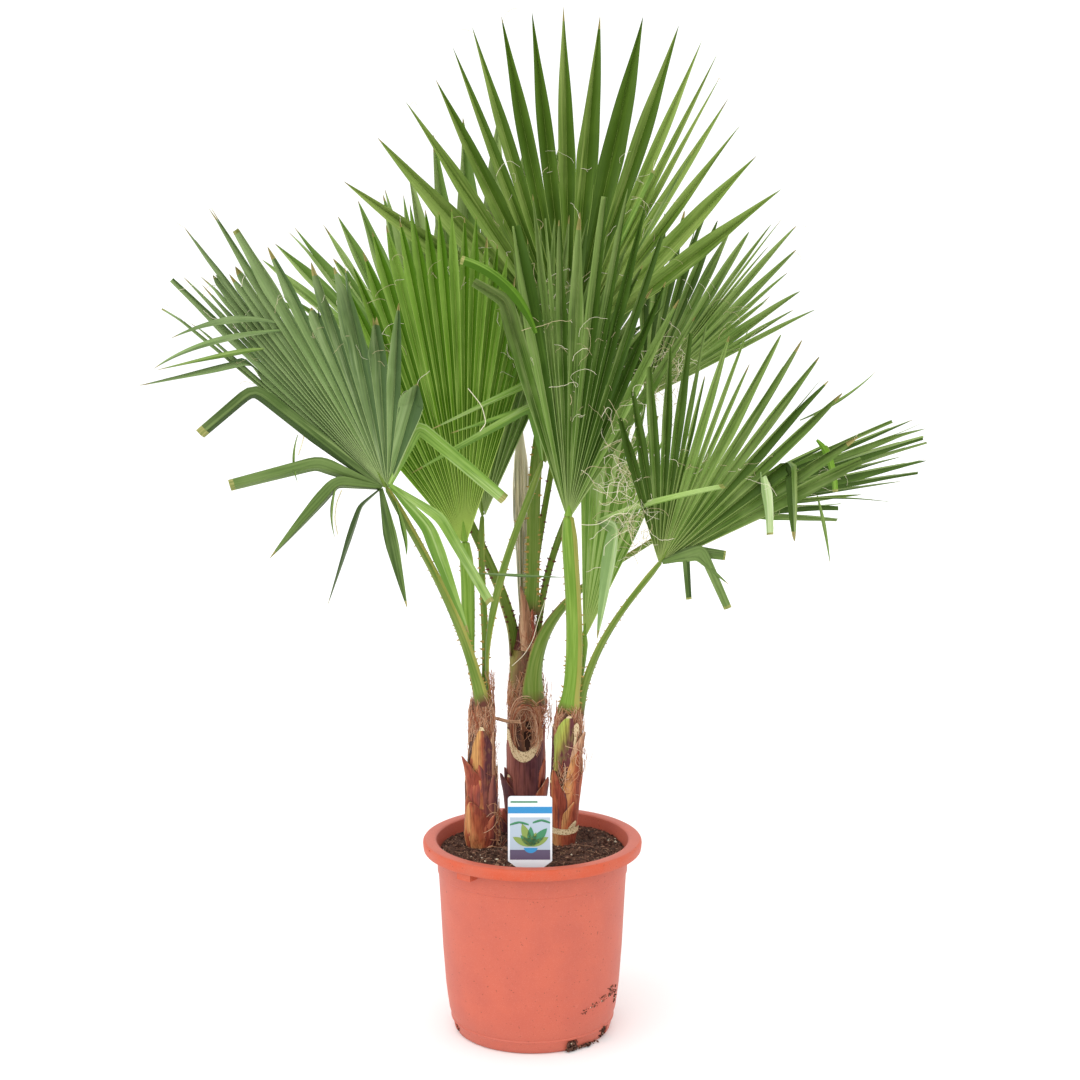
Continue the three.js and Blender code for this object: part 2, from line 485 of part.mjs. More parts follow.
/** Blank plant card with rounded top corners and a pointed foot, grown by `extra` for the soil pocket. */
function makeCard(extra = 0) {
  const { width, top, shoulder, foot, thick, x, y, lean, corner } = CARD, w = width / 2 + extra;
  const shape = new THREE.Shape();
  shape.moveTo(-w, shoulder);
  shape.lineTo(-9 - extra, shoulder - 18 - extra);
  shape.lineTo(-4 - extra, foot - extra);
  shape.lineTo(4 + extra, foot - extra);
  shape.lineTo(9 + extra, shoulder - 18 - extra);
  shape.lineTo(w, shoulder);
  shape.lineTo(w, top - corner);
  shape.quadraticCurveTo(w, top, w - corner, top);
  shape.lineTo(-w + corner, top);
  shape.quadraticCurveTo(-w, top, -w, top - corner);
  const card = new THREE.ExtrudeGeometry(shape, { depth: thick + 2 * extra, bevelEnabled: false,
    curveSegments: 3 });
  card.translate(0, -shoulder, -thick / 2 - extra).rotateX(Math.PI / 2 - radians(lean));
  card.translate(x, y, shoulder);
  return solidOf(card);
}

const pieces = new Map();
const finish = (colour) => new THREE.MeshStandardMaterial({ color: colour, roughness: 0.7 });
const keep = (name, made, colour) => pieces.set(name, { made, colour });

const card = makeCard();
keep("pot", makePot(), COLOURS.pot);
keep("soil", makeSoil(Object.values(STEMS).map((s) => stemCore(s, GAP)), makeCard(GAP)), COLOURS.soil);
keep("plant_card", card, COLOURS.card);
Object.keys(STEMS).forEach((name) => keep("stem_" + name, makeStem(name), COLOURS.husk));
keep("spear", makeSpear(), COLOURS.spear);
Object.entries(FRONDS).forEach(([name, f]) => {
  keep("stalk_" + name, largest(makeStalk(f).subtract(makeBlade(f, GAP))), COLOURS.stalk);
  keep("blade_" + name, makeBlade(f), name.includes("low") ? COLOURS.greyLeaf : COLOURS.leaf);
});
Object.entries(STRIPS).forEach(([name, s]) => keep("leaflets_" + name, makeStrips(s), COLOURS.greyLeaf));

const group = new THREE.Group();
pieces.forEach(({ made, colour }, name) => {
  const { numProp, vertProperties, triVerts } = made.getMesh();
  const geometry = new THREE.BufferGeometry();
  const place = new Float32Array((vertProperties.length / numProp) * 3);
  for (let i = 0; i < place.length / 3; i++) {
    place.set(vertProperties.subarray(i * numProp, i * numProp + 3), i * 3);
  }
  geometry.setAttribute("position", new THREE.BufferAttribute(place, 3));
  geometry.setIndex(new THREE.BufferAttribute(new Uint32Array(triVerts), 1));
  geometry.computeVertexNormals();
  const mesh = new THREE.Mesh(geometry, finish(colour));
  mesh.name = name;
  group.add(mesh);
});

export default group;
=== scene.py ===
"""Potted California fan palm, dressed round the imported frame.

Three leaning stems with cut leaf bases stand in a moulded nursery pot and carry toothed stalks and pleated
fans. Lengths are in millimetres, +Z up, with the origin at the middle of the pot's flat underside and the
front of the plant facing -Y. MeshHeap turns them into metres when it makes a mesh, so a place that a material
measures is in metres.
"""

import logging
import math
from collections.abc import Iterator, Sequence
from dataclasses import dataclass, field
from enum import Enum, IntEnum

import bpy
import numpy as np
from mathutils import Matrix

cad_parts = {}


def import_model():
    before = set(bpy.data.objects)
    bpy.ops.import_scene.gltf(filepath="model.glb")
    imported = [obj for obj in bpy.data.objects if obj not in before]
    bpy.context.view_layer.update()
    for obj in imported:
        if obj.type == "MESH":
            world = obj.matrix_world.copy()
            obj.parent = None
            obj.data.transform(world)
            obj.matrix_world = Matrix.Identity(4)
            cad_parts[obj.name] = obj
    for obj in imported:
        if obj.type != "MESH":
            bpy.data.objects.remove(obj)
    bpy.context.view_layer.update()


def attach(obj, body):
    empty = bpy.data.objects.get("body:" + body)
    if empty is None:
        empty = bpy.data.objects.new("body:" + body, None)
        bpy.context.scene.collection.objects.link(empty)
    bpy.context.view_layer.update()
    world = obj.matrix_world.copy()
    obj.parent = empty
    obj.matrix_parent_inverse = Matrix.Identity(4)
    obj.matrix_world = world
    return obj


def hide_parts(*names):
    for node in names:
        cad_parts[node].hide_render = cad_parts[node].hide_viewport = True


LOG = logging.getLogger("fan_palm")
METRE = 0.001
ROUND = 2 * math.pi
DOWN = np.array([0.0, 0.0, -1.0])
UP = -DOWN
Array = np.ndarray
Number = float | Array
Point = tuple[float, float, float]
Socket = bpy.types.NodeSocket


# Small maths


def unit(v: Array) -> Array:
    """Returns a vector, or each row of an array of vectors, at length one."""
    return v / np.maximum(np.linalg.norm(v, axis=-1, keepdims=True), 1e-9)


def mix(a: Number, b: Number, t: Number) -> Number:
    """Returns the value at share t of the way from a to b."""
    return a + (b - a) * t


def smooth(x: Number) -> Number:
    """Returns an eased step that rises from 0 to 1 as x does."""
    t = np.clip(x, 0.0, 1.0)
    return t * t * (3 - 2 * t)


def along(values: Sequence[float], t: float) -> float:
    """Returns the value at share t of the way along a list, straight between neighbours."""
    return float(np.interp(t, shares(len(values)), values))


def shares(count: int) -> Array:
    """Returns this many even shares from 0 to 1."""
    return np.linspace(0, 1, count)


def lengths(path: Array) -> Array:
    """Returns how far along a path each of its points lies."""
    return np.concatenate([[0.0], np.cumsum(np.linalg.norm(np.diff(path, axis=0), axis=1))])


def softened(row: Array, rounds: int) -> Array:
    """Rounds the corners of a row of points or numbers, and keeps its ends.

    Args:
        row: the row, changed in place.
        rounds: how often each one moves towards its neighbours.

    Returns:
        The same row.
    """
    for _ in range(rounds):
        row[1:-1] = (row[:-2] + 2 * row[1:-1] + row[2:]) / 4
    return row


def spun(a: Array, b: Array, turn: Number) -> tuple[Array, Array]:
    """Turns two square directions in their own plane, by an angle in radians."""
    return a * np.cos(turn) + b * np.sin(turn), b * np.cos(turn) - a * np.sin(turn)


def around(radius: Number, turn: Number, z: Number) -> Array:
    """Returns points by their distance from the upright axis, their turn in radians and their height."""
    return np.stack(np.broadcast_arrays(radius * np.cos(turn), radius * np.sin(turn), z), -1)


def paired(a: Number, b: Number) -> Array:
    """Returns two coordinates side by side for each point."""
    return np.stack(np.broadcast_arrays(a, b), -1)


class Chance:
    """Repeatable chance, by the same steps as in the part's source."""

    def __init__(self, seed: int) -> None:
        """Starts from a seed."""
        self.state = seed

    def __call__(self, low: float = 0.0, high: float = 1.0) -> float:
        """Returns the next number between two limits."""
        self.state = (self.state * 1664525 + 1013904223) % 4294967296
        return low + (high - low) * (self.state / 4294967296)

    def direction(self) -> Array:
        """Returns a direction, even over the sphere."""
        z, turn = self(-1, 1), self(0, ROUND)
        return around(math.sqrt(1 - z * z), turn, z)


def bezier(points: Sequence[Sequence[float]], t: Array) -> Array:
    """Points of a Bezier curve.

    Args:
        points: three or four control points.
        t: shares along the curve.

    Returns:
        One point for each share.
    """
    rows = [np.repeat(np.asarray(p, float)[None], len(t), 0) for p in points]
    while len(rows) > 1:
        rows = [mix(a, b, t[:, None]) for a, b in zip(rows, rows[1:])]
    return rows[0]


def carry(path: Array, across: Array) -> tuple[Array, Array, Array]:
    """Carries a sideways direction along a path without needless twist.

    Args:
        path: the points.
        across: the sideways direction at the first point.

    Returns:
        Heading, sideways and through directions at each point.
    """
    heading = unit(np.gradient(path, axis=0))
    sides = np.empty_like(path)
    side = np.asarray(across, float)
    for k, h in enumerate(heading):
        side = side - h * (side @ h)
        if side @ side < 1e-8:
            side = np.cross(h, (0.31, 0.2, 0.93))
        side = side / math.sqrt(side @ side)
        sides[k] = side
    return heading, sides, np.cross(heading, sides)


def tube(path: Array, across: Array, through: Array, wide: Array, thick: Array, section: Array) -> Array:
    """Returns an outline, in shares of half the width and thickness, round each point of a path."""
    return (path[:, None] + across[:, None] * (wide[:, None] * section[None, :, 0])[..., None]
            + through[:, None] * (thick[:, None] * section[None, :, 1])[..., None])


def ring(sides: int) -> Array:
    """Returns a round outline with this many sides."""
    t = np.arange(sides) * ROUND / sides
    return np.stack([np.cos(t), np.sin(t)], -1)


def closing(count: int) -> Array:
    """Returns triangles that close a round of this many points, all from its first one."""
    return np.stack([np.zeros(count - 2, int), np.arange(1, count - 1), np.arange(2, count)], -1)


def ripple(s: Array, z: Array, pitch: float, seed: float = 0.0) -> Array:
    """Uneven ridges across s that wander slowly along z, about -1 to 1.

    Args:
        s: place across the ridges, in millimetres.
        z: place along the ridges, in millimetres.
        pitch: distance between ridges, in millimetres.
        seed: shifts the pattern.

    Returns:
        The height of the ridges.
    """
    w = ROUND / pitch
    drift = np.sin(z / (9 * pitch) + seed) * 1.3
    return (np.sin(w * s + drift + seed) + 0.6 * np.sin(w * 1.73 * s - drift + 2.1 * seed)
            + 0.5 * np.sin(w * 0.41 * s + z / (5 * pitch) + 1.3 * seed)) / 2.1


# Meshes


class MeshHeap:
    """Points and faces in millimetres, gathered until they become one Blender mesh."""

    def __init__(self) -> None:
        """Starts empty."""
        self.points: list[Array] = []
        self.faces: list[Array] = []
        self.grain: list[Array] = []
        self.finishes: list[Array] = []
        self.count = 0

    def add(self, points: Array, faces: Array, finish: int | Array = 0, grain: Array | None = None) -> None:
        """Adds points with their faces.

        Args:
            points: the places.
            faces: three or four indices a row, counted from the first of these points.
            finish: index of the finish, one for all faces or one each.
            grain: pattern coordinates for each point, in millimetres.
        """
        points = np.asarray(points, float).reshape(-1, 3)
        faces = np.asarray(faces, int)
        if faces.shape[1] == 3:
            faces = np.pad(faces, ((0, 0), (0, 1)), constant_values=-1)
        self.points.append(points)
        self.faces.append(np.where(faces >= 0, faces + self.count, -1))
        self.grain.append(points[:, :2] if grain is None else np.asarray(grain, float).reshape(-1, 2))
        self.finishes.append(np.broadcast_to(np.asarray(finish, int).reshape(-1), (len(faces),)).copy())
        self.count += len(points)

    def grid(self, points: Array, finish: int | Array = 0, grain: Array | None = None,
             wrap: bool = False) -> None:
        """Adds a sheet of rows and columns.

        Args:
            points: rows by columns by three.
            finish: index of the finish, one for all faces or one each.
            grain: pattern coordinates, rows by columns by two.
            wrap: joins the last column to the first.
        """
        rows, cols = points.shape[:2]
        i, j = np.meshgrid(np.arange(rows - 1), np.arange(cols if wrap else cols - 1), indexing="ij")
        k = (j + 1) % cols
        corners = [i * cols + j, i * cols + k, (i + 1) * cols + k, (i + 1) * cols + j]
        self.add(points, np.stack(corners, -1).reshape(-1, 4), finish, grain)

    def sweep(self, path: Array, section: Array, wide: Number, thick: Number, across: Sequence[float],
              finish: int = 0, caps: bool = True, start: float = 0.0) -> None:
        """Adds a tube with one outline along a path.

        Args:
            path: the middle line.
            section: the outline, as shares of half the width and half the thickness.
            wide: half the width at each point of the path.
            thick: half the thickness at each point.
            across: the width's direction at the start.
            finish: index of the finish.
            caps: closes both ends.
            start: length of grain already run when the tube begins, in millimetres.
        """
        _, sides, through = carry(path, across)
        wide, thick = (np.broadcast_to(size, len(path)) for size in (wide, thick))
        rings = tube(path, sides, through, wide, thick, section)
        grain = paired(section[None, :, 0] * wide[:, None], (start + lengths(path))[:, None])
        self.grid(rings, finish, grain, wrap=True)
        if caps:
            end = closing(len(section))
            self.add(rings[0], end[:, ::-1], finish)
            self.add(rings[-1], end, finish)

    def strand(self, path: Array, thick: Number, across: Sequence[float], finish: int = 0,
               sides: int = 3) -> None:
        """Adds a thin round strand with open ends, by its half thickness."""
        self.sweep(path, ring(sides), thick, thick, across, finish, caps=False)

    def build(self, name: str, finishes: Sequence["Finish"], crease: float | None = 42.0) -> bpy.types.Object:
        """Makes the mesh and its object, and reports it.

        Args:
            name: the piece's name.
            finishes: one finish for each index used.
            crease: edges sharper than this many degrees stay crisp; None rounds them all.

        Returns:
            The new object, in the scene.
        """
        points = np.concatenate(self.points) * METRE
        faces = np.concatenate(self.faces)
        corners = faces[faces >= 0]
        starts = np.concatenate([[0], np.cumsum((faces >= 0).sum(1))[:-1]])
        mesh = bpy.data.meshes.new(name)
        mesh.vertices.add(len(points))
        mesh.vertices.foreach_set("co", points.ravel())
        mesh.loops.add(len(corners))
        mesh.loops.foreach_set("vertex_index", corners.astype(np.int32))
        mesh.polygons.add(len(faces))
        mesh.polygons.foreach_set("loop_start", starts.astype(np.int32))
        mesh.polygons.foreach_set("material_index", np.concatenate(self.finishes).astype(np.int32))
        for finish in finishes:
            mesh.materials.append(finish.make())
        grain = mesh.uv_layers.new(name="grain")
        grain.data.foreach_set("uv", (np.concatenate(self.grain)[corners] * METRE).ravel())
        mesh.update(calc_edges=True)
        mesh.validate()
        mesh.shade_smooth()
        if crease is not None:
            mesh.set_sharp_from_angle(angle=math.radians(crease))
        piece = bpy.data.objects.new(name, mesh)
        bpy.context.scene.collection.objects.link(piece)
        LOG.info("%s: %d faces", name, len(faces))
        return piece


def settle(piece: bpy.types.Object, slot: str, *nodes: str) -> None:
    """Makes a piece ride on the one body and stand for its nodes.

    Args:
        piece: the new piece.
        slot: the material slot of the record; not used.
        nodes: the nodes it stands for.
    """
    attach(piece, "root")
    if nodes:
        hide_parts(*nodes)


# Finishes

BLACK = "#000000"
WHITE = "#ffffff"
EVEN = (1, 1, 1)


def linear(code: str) -> tuple[float, float, float, float]:
    """Turns an sRGB hex colour into linear light with full cover."""
    parts = [int(code[i:i + 2], 16) / 255 for i in (1, 3, 5)]
    return (*(c / 12.92 if c <= 0.04045 else ((c + 0.055) / 1.055) ** 2.4 for c in parts), 1.0)


def add_node(tree: bpy.types.NodeTree, kind: str, settings: dict | None = None,
             links: dict | None = None) -> bpy.types.Node:
    """Adds one shader node with its settings and links.

    Args:
        tree: the material's tree.
        kind: the node's type, without its prefix.
        settings: values by input name or property name; "stops" fills a colour ramp.
        links: output sockets by input name or index.

    Returns:
        The new node.
    """
    node = tree.nodes.new("ShaderNode" + kind)
    for key, value in (settings or {}).items():
        if key == "stops":
            band = node.color_ramp.elements
            while len(band) < len(value):
                band.new(1.0)
            for stop, (place, colour) in zip(band, value):
                stop.position, stop.color = place, linear(colour)
        elif isinstance(key, int) or key in node.inputs:
            node.inputs[key].default_value = value
        else:
            setattr(node, key, value)
    for key, socket in (links or {}).items():
        tree.links.new(socket, node.inputs[key])
    return node


@dataclass(frozen=True)
class Coat:
    """One material's node tree and surface shader, with the steps that every finish is made of."""

    tree: bpy.types.NodeTree
    shader: bpy.types.Node

    def place(self, grain: bool) -> Socket:
        """Returns where a point lies in metres, along the piece's own grain or on the object's axes."""
        kind, output = ("UVMap", "UV") if grain else ("TexCoord", "Object")
        return add_node(self.tree, kind, {"uv_map": "grain"} if grain else {}).outputs[output]

    def measure(self, axis: str, grain: bool = True) -> Socket:
        """Returns one coordinate of that place."""
        return add_node(self.tree, "SeparateXYZ", links={"Vector": self.place(grain)}).outputs[axis]

    def marks(self, size: float, stretch: Point = EVEN, grain: bool = False, detail: float = 3.0) -> Socket:
        """Builds uneven marks of a real size.

        Args:
            size: width of one mark, in millimetres.
            stretch: how much denser the marks stand along each axis.
            grain: follows the piece's own grain in place of the object's axes.
            detail: depth of the finer marks inside.

        Returns:
            The strength of the marks, about 0.2 to 0.8.
        """
        pulled = add_node(self.tree, "VectorMath", {"operation": "MULTIPLY", 1: stretch},
                          {0: self.place(grain)})
        return add_node(self.tree, "TexNoise",
                        {"Scale": 1 / (size * METRE), "Detail": detail, "Roughness": 0.55},
                        {"Vector": pulled.outputs[0]}).outputs["Fac"]

    def ramp(self, value: Socket, *stops: tuple[float, str]) -> Socket:
        """Turns a value into colour, by stops of a place and a colour."""
        return add_node(self.tree, "ValToRGB", {"stops": stops}, {"Fac": value}).outputs["Color"]

    def cover(self, size: float, stretch: Point = EVEN, low: float = 0.35, high: float = 0.65,
              grain: bool = False, detail: float = 3.0) -> Socket:
        """Returns a share that is 0 where marks are weaker than low and 1 where they pass high."""
        return self.ramp(self.marks(size, stretch, grain, detail), (low, BLACK), (high, WHITE))

    def fade(self, value: Socket, start: float, stop: float, first: float, last: float) -> Socket:
        """Returns a share that runs from first to last as the value goes from start to stop."""
        limits = {"From Min": start, "From Max": stop, "To Min": first, "To Max": last}
        return add_node(self.tree, "MapRange", limits, {"Value": value}).outputs["Result"]

    def sum(self, operation: str, *terms: Socket | float) -> Socket:
        """Works out one sum.

        Args:
            operation: the kind of sum.
            terms: sockets and plain numbers.

        Returns:
            Its result.
        """
        links = {i: term for i, term in enumerate(terms) if isinstance(term, Socket)}
        plain = {i: term for i, term in enumerate(terms) if i not in links}
        return add_node(self.tree, "Math", {"operation": operation, **plain}, links).outputs[0]

    def tint(self, under: Socket, colour: str, share: Socket) -> Socket:
        """Lays a colour over another one by a share."""
        return add_node(self.tree, "Mix", {"data_type": "RGBA", "B": linear(colour)},
                        {"Factor": share, "A": under}).outputs["Result"]

    def paint(self, colour: Socket) -> None:
        """Gives the surface its colour."""
        self.tree.links.new(colour, self.shader.inputs["Base Color"])

    def emboss(self, height: Socket, depth: float, strength: float) -> None:
        """Presses a pattern into the surface.

        Args:
            height: the pattern.
            depth: how deep it is, in millimetres.
            strength: the share of it that shows.
        """
        bump = add_node(self.tree, "Bump", {"Strength": strength, "Distance": depth * METRE},
                        {"Height": height})
        self.tree.links.new(bump.outputs["Normal"], self.shader.inputs["Normal"])


@dataclass(frozen=True)
class Finish:
    """A surface as it is made or grown; the kinds below add their own pattern."""

    name: str
    colour: str
    roughness: float = 0.6
    ior: float = 1.45
    shine: float = 0.3

    def make(self) -> bpy.types.Material:
        """Makes the material on first use.

        Returns:
            The material.
        """
        found = bpy.data.materials.get(self.name)
        if found:
            return found
        material = bpy.data.materials.new(self.name)
        material.use_nodes = True
        material.diffuse_color = linear(self.colour)
        tree = material.node_tree
        tree.nodes.clear()
        shader = add_node(tree, "BsdfPrincipled", {
            "Base Color": linear(self.colour), "Roughness": self.roughness, "IOR": self.ior,
            "Specular IOR Level": self.shine})
        add_node(tree, "OutputMaterial", links={"Surface": shader.outputs["BSDF"]})
        self.dress(Coat(tree, shader))
        return material

    def dress(self, coat: Coat) -> None:
        """Adds nothing here: threads and crumbs are too small to show a pattern of their own."""


@dataclass(frozen=True)
class WaxyLeaf(Finish):
    """Living palm leaf: a thin wax bloom over parallel veins gives a soft, pale shine along the leaflet."""

    streak: str = "#6f8f3a"
    deep: str = "#2f4a12"
    roughness: float = 0.46
    shine: float = 0.14

    def dress(self, coat: Coat) -> None:
        """Veins are drawn 2.4 mm wide, coarser than grown; painted light pales the leaflets from 0.22 to 0.46
        m off the hub.

        Args:
            coat: the material's steps.
        """
        veins = coat.marks(2.4, (1, 0.02, 1), grain=True)
        shown = coat.ramp(veins, (0.34, self.deep), (0.56, self.colour))
        bands = coat.cover(5, (1, 0.03, 1), 0.52, 0.80, grain=True)
        clouds = coat.sum("MULTIPLY", coat.cover(70, EVEN, 0.45, 0.75), 0.35)
        # painted light: the outer part of each leaflet is tinted paler, standing in for the brighter light on
        # the outer fan
        outer_light = coat.fade(coat.measure("Y"), 0.22, 0.46, 0.0, 0.42)
        for share in (bands, clouds, outer_light):
            shown = coat.tint(shown, self.streak, share)
        coat.paint(shown)
        coat.emboss(veins, 0.5, 0.45)


@dataclass(frozen=True)
class DryLeaf(Finish):
    """Dead leaf end: dried hard and dull, with straw and brown streaks."""

    dark: str = "#6f5230"
    roughness: float = 0.7

    def dress(self, coat: Coat) -> None:
        """Streaks are drawn 3 mm wide so that they show on a leaflet.

        Args:
            coat: the material's steps.
        """
        streaks = coat.marks(3, (1, 0.05, 1), grain=True)
        coat.paint(coat.ramp(streaks, (0.35, self.dark), (0.65, self.colour)))
        coat.emboss(streaks, 0.4, 0.4)


@dataclass(frozen=True)
class GreenStalk(Finish):
    """Living leaf stalk: a hard waxed rind, glossier than the blade, that browns to purple at the stem."""

    foot: str = "#5e3428"
    pale: str = "#b4bb62"
    roughness: float = 0.4
    shine: float = 0.22

    def dress(self, coat: Coat) -> None:
        """Rind streaks are 3 mm wide; the brown foot fades out over the first 26 mm of the stalk.

        Args:
            coat: the material's steps.
        """
        streaks = coat.marks(3, (1, 0.03, 1), grain=True)
        rind = coat.ramp(streaks, (0.40, self.colour), (0.75, self.pale))
        blotches = coat.cover(16, (1, 0.25, 1), 0.3, 0.7, grain=True)
        foot = coat.fade(coat.measure("Y"), 0.004, 0.026, 0.9, 0.0)
        share = coat.sum("MULTIPLY_ADD", foot, 0.45, coat.sum("MULTIPLY", foot, blotches))
        coat.paint(coat.tint(rind, self.foot, share))
        coat.emboss(streaks, 0.4, 0.25)


@dataclass(frozen=True)
class DriedHusk(Finish):
    """Dried leaf base: long woody fibres under a thin matt skin, its colour turning from margin to margin."""

    left: str = "#c08058"
    right: str = "#5a2c20"
    roughness: float = 0.6
    shine: float = 0.18

    def dress(self, coat: Coat) -> None:
        """Strands 2.2 mm wide run up the stem; the grain's first 100 mm span a base from side to side.

        Args:
            coat: the material's steps.
        """
        strands = coat.marks(2.2, (1, 1, 0.05))
        over = coat.sum("MULTIPLY_ADD", coat.measure("X"), 10.0, -0.36)
        turn = coat.sum("MULTIPLY_ADD", coat.marks(17, (1, 1, 0.35)), 0.72, over)
        band = coat.ramp(turn, (0.24, self.left), (0.46, self.colour), (0.66, self.right))
        worn = coat.tint(band, self.left, coat.fade(coat.marks(9, (1, 1, 0.5)), 0.52, 0.74, 0.0, 0.3))
        # painted shade: the low grooves between the strands are darkened
        shade = coat.ramp(strands, (0.28, "#b0a8a2"), (0.58, WHITE))
        shown = add_node(coat.tree, "Mix", {
            "data_type": "RGBA", "blend_type": "MULTIPLY", "Factor": 1.0}, {"A": worn, "B": shade})
        coat.paint(shown.outputs["Result"])
        coat.emboss(strands, 0.9, 0.7)


@dataclass(frozen=True)
class CutHusk(Finish):
    """Fresh cut through a leaf base: pale, dull and slightly spongy, with the dark ends of its fibres."""

    dark: str = "#8c6a44"
    roughness: float = 0.8

    def dress(self, coat: Coat) -> None:
        """Fibre ends are drawn 1.9 mm across.

        Args:
            coat: the material's steps.
        """
        pores = coat.marks(1.9)
        coat.paint(coat.ramp(pores, (0.33, self.dark), (0.5, self.colour)))
        coat.emboss(pores, 0.5, 0.4)


@dataclass(frozen=True)
class MouldedPolypropylene(Finish):
    """Injection-moulded recycled polypropylene: satin, faintly clouded, with scuffs, dust and soil specks."""

    cloud: str = "#bd5c49"
    scuff: str = "#dc9a86"
    speck: str = "#6d3426"
    foot_grey: str = "#b56a5a"
    roughness: float = 0.5
    ior: float = 1.49
    shine: float = 0.4

    def dress(self, coat: Coat) -> None:
        """Clouds are 45 mm across, scuffs 2 by 20 mm, specks 3.5 mm, and the lowest 60 mm turn greyer.

        Args:
            coat: the material's steps.
        """
        shown = coat.ramp(coat.marks(45, detail=5), (0.35, self.cloud), (0.62, self.colour))
        motes = coat.marks(1.2, detail=2)
        # greyer towards the bottom, over the lowest 60 mm
        low = coat.fade(coat.measure("Z", grain=False), 0.0, 0.06, 0.35, 0.0)
        scuffs = coat.cover(2, (0.5, 0.5, 0.12), 0.66, 0.76, detail=2)
        specks = coat.cover(3.5, EVEN, 0.71, 0.75, detail=1)
        dusted = coat.ramp(motes, (0.55, BLACK), (0.80, WHITE))
        for cover, share, colour in ((low, 1.0, self.foot_grey), (dusted, 0.30, self.scuff),
                                     (scuffs, 0.08, self.scuff), (specks, 0.6, self.speck)):
            shown = coat.tint(shown, colour, coat.sum("MULTIPLY", cover, share))
        coat.paint(shown)
        coat.emboss(motes, 0.25, 0.25)


@dataclass(frozen=True)
class PottingMix(Finish):
    """Moist peat and bark mix: dark, rough and crumbly, with no shine except on wet grains."""

    pale: str = "#6b4a38"
    wet: str = "#241510"
    roughness: float = 0.92

    def dress(self, coat: Coat) -> None:
        """Grains are 3 mm across over 18 mm patches.

        Args:
            coat: the material's steps.
        """
        grains = coat.marks(3, detail=4)
        dry = coat.ramp(grains, (0.38, self.colour), (0.72, self.pale))
        coat.paint(coat.tint(dry, self.wet, coat.cover(18, EVEN, 0.35, 0.7)))
        coat.emboss(grains, 2.0, 0.9)


@dataclass(frozen=True)
class PrintedCard(Finish):
    """Offset-printed polystyrene card: smooth and slightly glossy, with a faint print screen."""

    roughness: float = 0.3
    ior: float = 1.55

    def dress(self, coat: Coat) -> None:
        """The print screen is drawn 1.5 mm wide and hardly shows."""
        coat.emboss(coat.marks(1.5), 0.05, 0.2)


class LeafTone(IntEnum):
    """The finishes of a frond's leaflets, in the order of a palette."""

    # DARK and LIGHT are shaded and lit copies of MIDDLE: painted shade and painted light, also dealt at
    # random
    DARK = 0
    MIDDLE = 1
    LIGHT = 2
    RIB = 3
    TIP = 4
    TORN = 5


def palette(name: str, dark: str, middle: str, light: str, streak: str, rib: str) -> tuple[Finish, ...]:
    """Makes the finishes of one kind of frond.

    Args:
        name: what the frond's colour is called.
        dark, middle, light: colours of its darkest leaflets, of most and of its lightest; the darkest and
            lightest carry painted shade and painted light.
        streak: colour of the pale veins.
        rib: colour of the ribs.

    Returns:
        The palette, in the order of LeafTone.
    """
    return (
        # painted shade and painted light: darker and lighter copies of the middle leaf
        WaxyLeaf(f"waxy_leaf_{name}_dark", dark, streak=middle, deep=dark),
        WaxyLeaf(f"waxy_leaf_{name}", middle, streak=streak, deep=dark),
        WaxyLeaf(f"waxy_leaf_{name}_light", light, streak=streak, deep=middle),
        Finish(f"leaf_rib_{name}", rib, 0.5),
        DryLeaf("dried_leaf_tip", "#a89c62", dark="#7c7a40"),
        DryLeaf("torn_leaf_end", "#a3a060", dark="#6f7c3a"))


class Leaf(Enum):
    """Leaf colours by the age and side of the frond, with BACKLIT as painted light and SHADE as painted
    shade.
    """

    CROWN = palette("crown", "#3d5715", "#5b7828", "#7c9746", "#9aab5e", "#8ea450")
    FRESH = palette("fresh", "#3d600b", "#537b16", "#6e982b", "#96b456", "#a0b858")
    GREY = palette("grey", "#486038", "#647c46", "#7c965a", "#9db07c", "#94a86c")
    DEEP = palette("deep", "#2f4811", "#527029", "#7a984a", "#98aa68", "#8ea260")
    OLIVE = palette("olive", "#3a5219", "#58752d", "#7a954a", "#98aa68", "#8c9e58")
    YOUNG = palette("young", "#5f8432", "#7fa046", "#a0bc6c", "#b8cc8c", "#a4ba68")
    GLAUCOUS = palette("glaucous", "#78945a", "#98b672", "#b2c88c", "#d6deb8", "#b6c694")
    # painted light: a lighter copy for the back fronds, which the fans in front shade
    BACKLIT = palette("backlit", "#53702c", "#78964a", "#98b068", "#aebf80", "#a2b672")
    # painted shade: a darker copy for hanging leaflets that face up into the light
    SHADE = palette("shade", "#34481e", "#4c632e", "#627a3e", "#84985c", "#7f9056")


class Thorns(Enum):
    """Colours of the teeth along a stalk's margins."""

    HORN = Finish("thorn_amber_horn", "#a98a48", 0.4)
    DARK = Finish("thorn_brown_horn", "#64392a", 0.4)


THREADS = (Finish("leaf_margin_thread", "#ece4c8", 0.75), Finish("leaf_margin_thread_dull", "#c9bc92", 0.8))
FIBRES = (Finish("husk_fibre_tan", "#c48a66", 0.85), Finish("husk_fibre_brown", "#a45d42", 0.85),
          Finish("husk_fibre_pale", "#deb796", 0.85))


# The plant's layout, as in the part's source


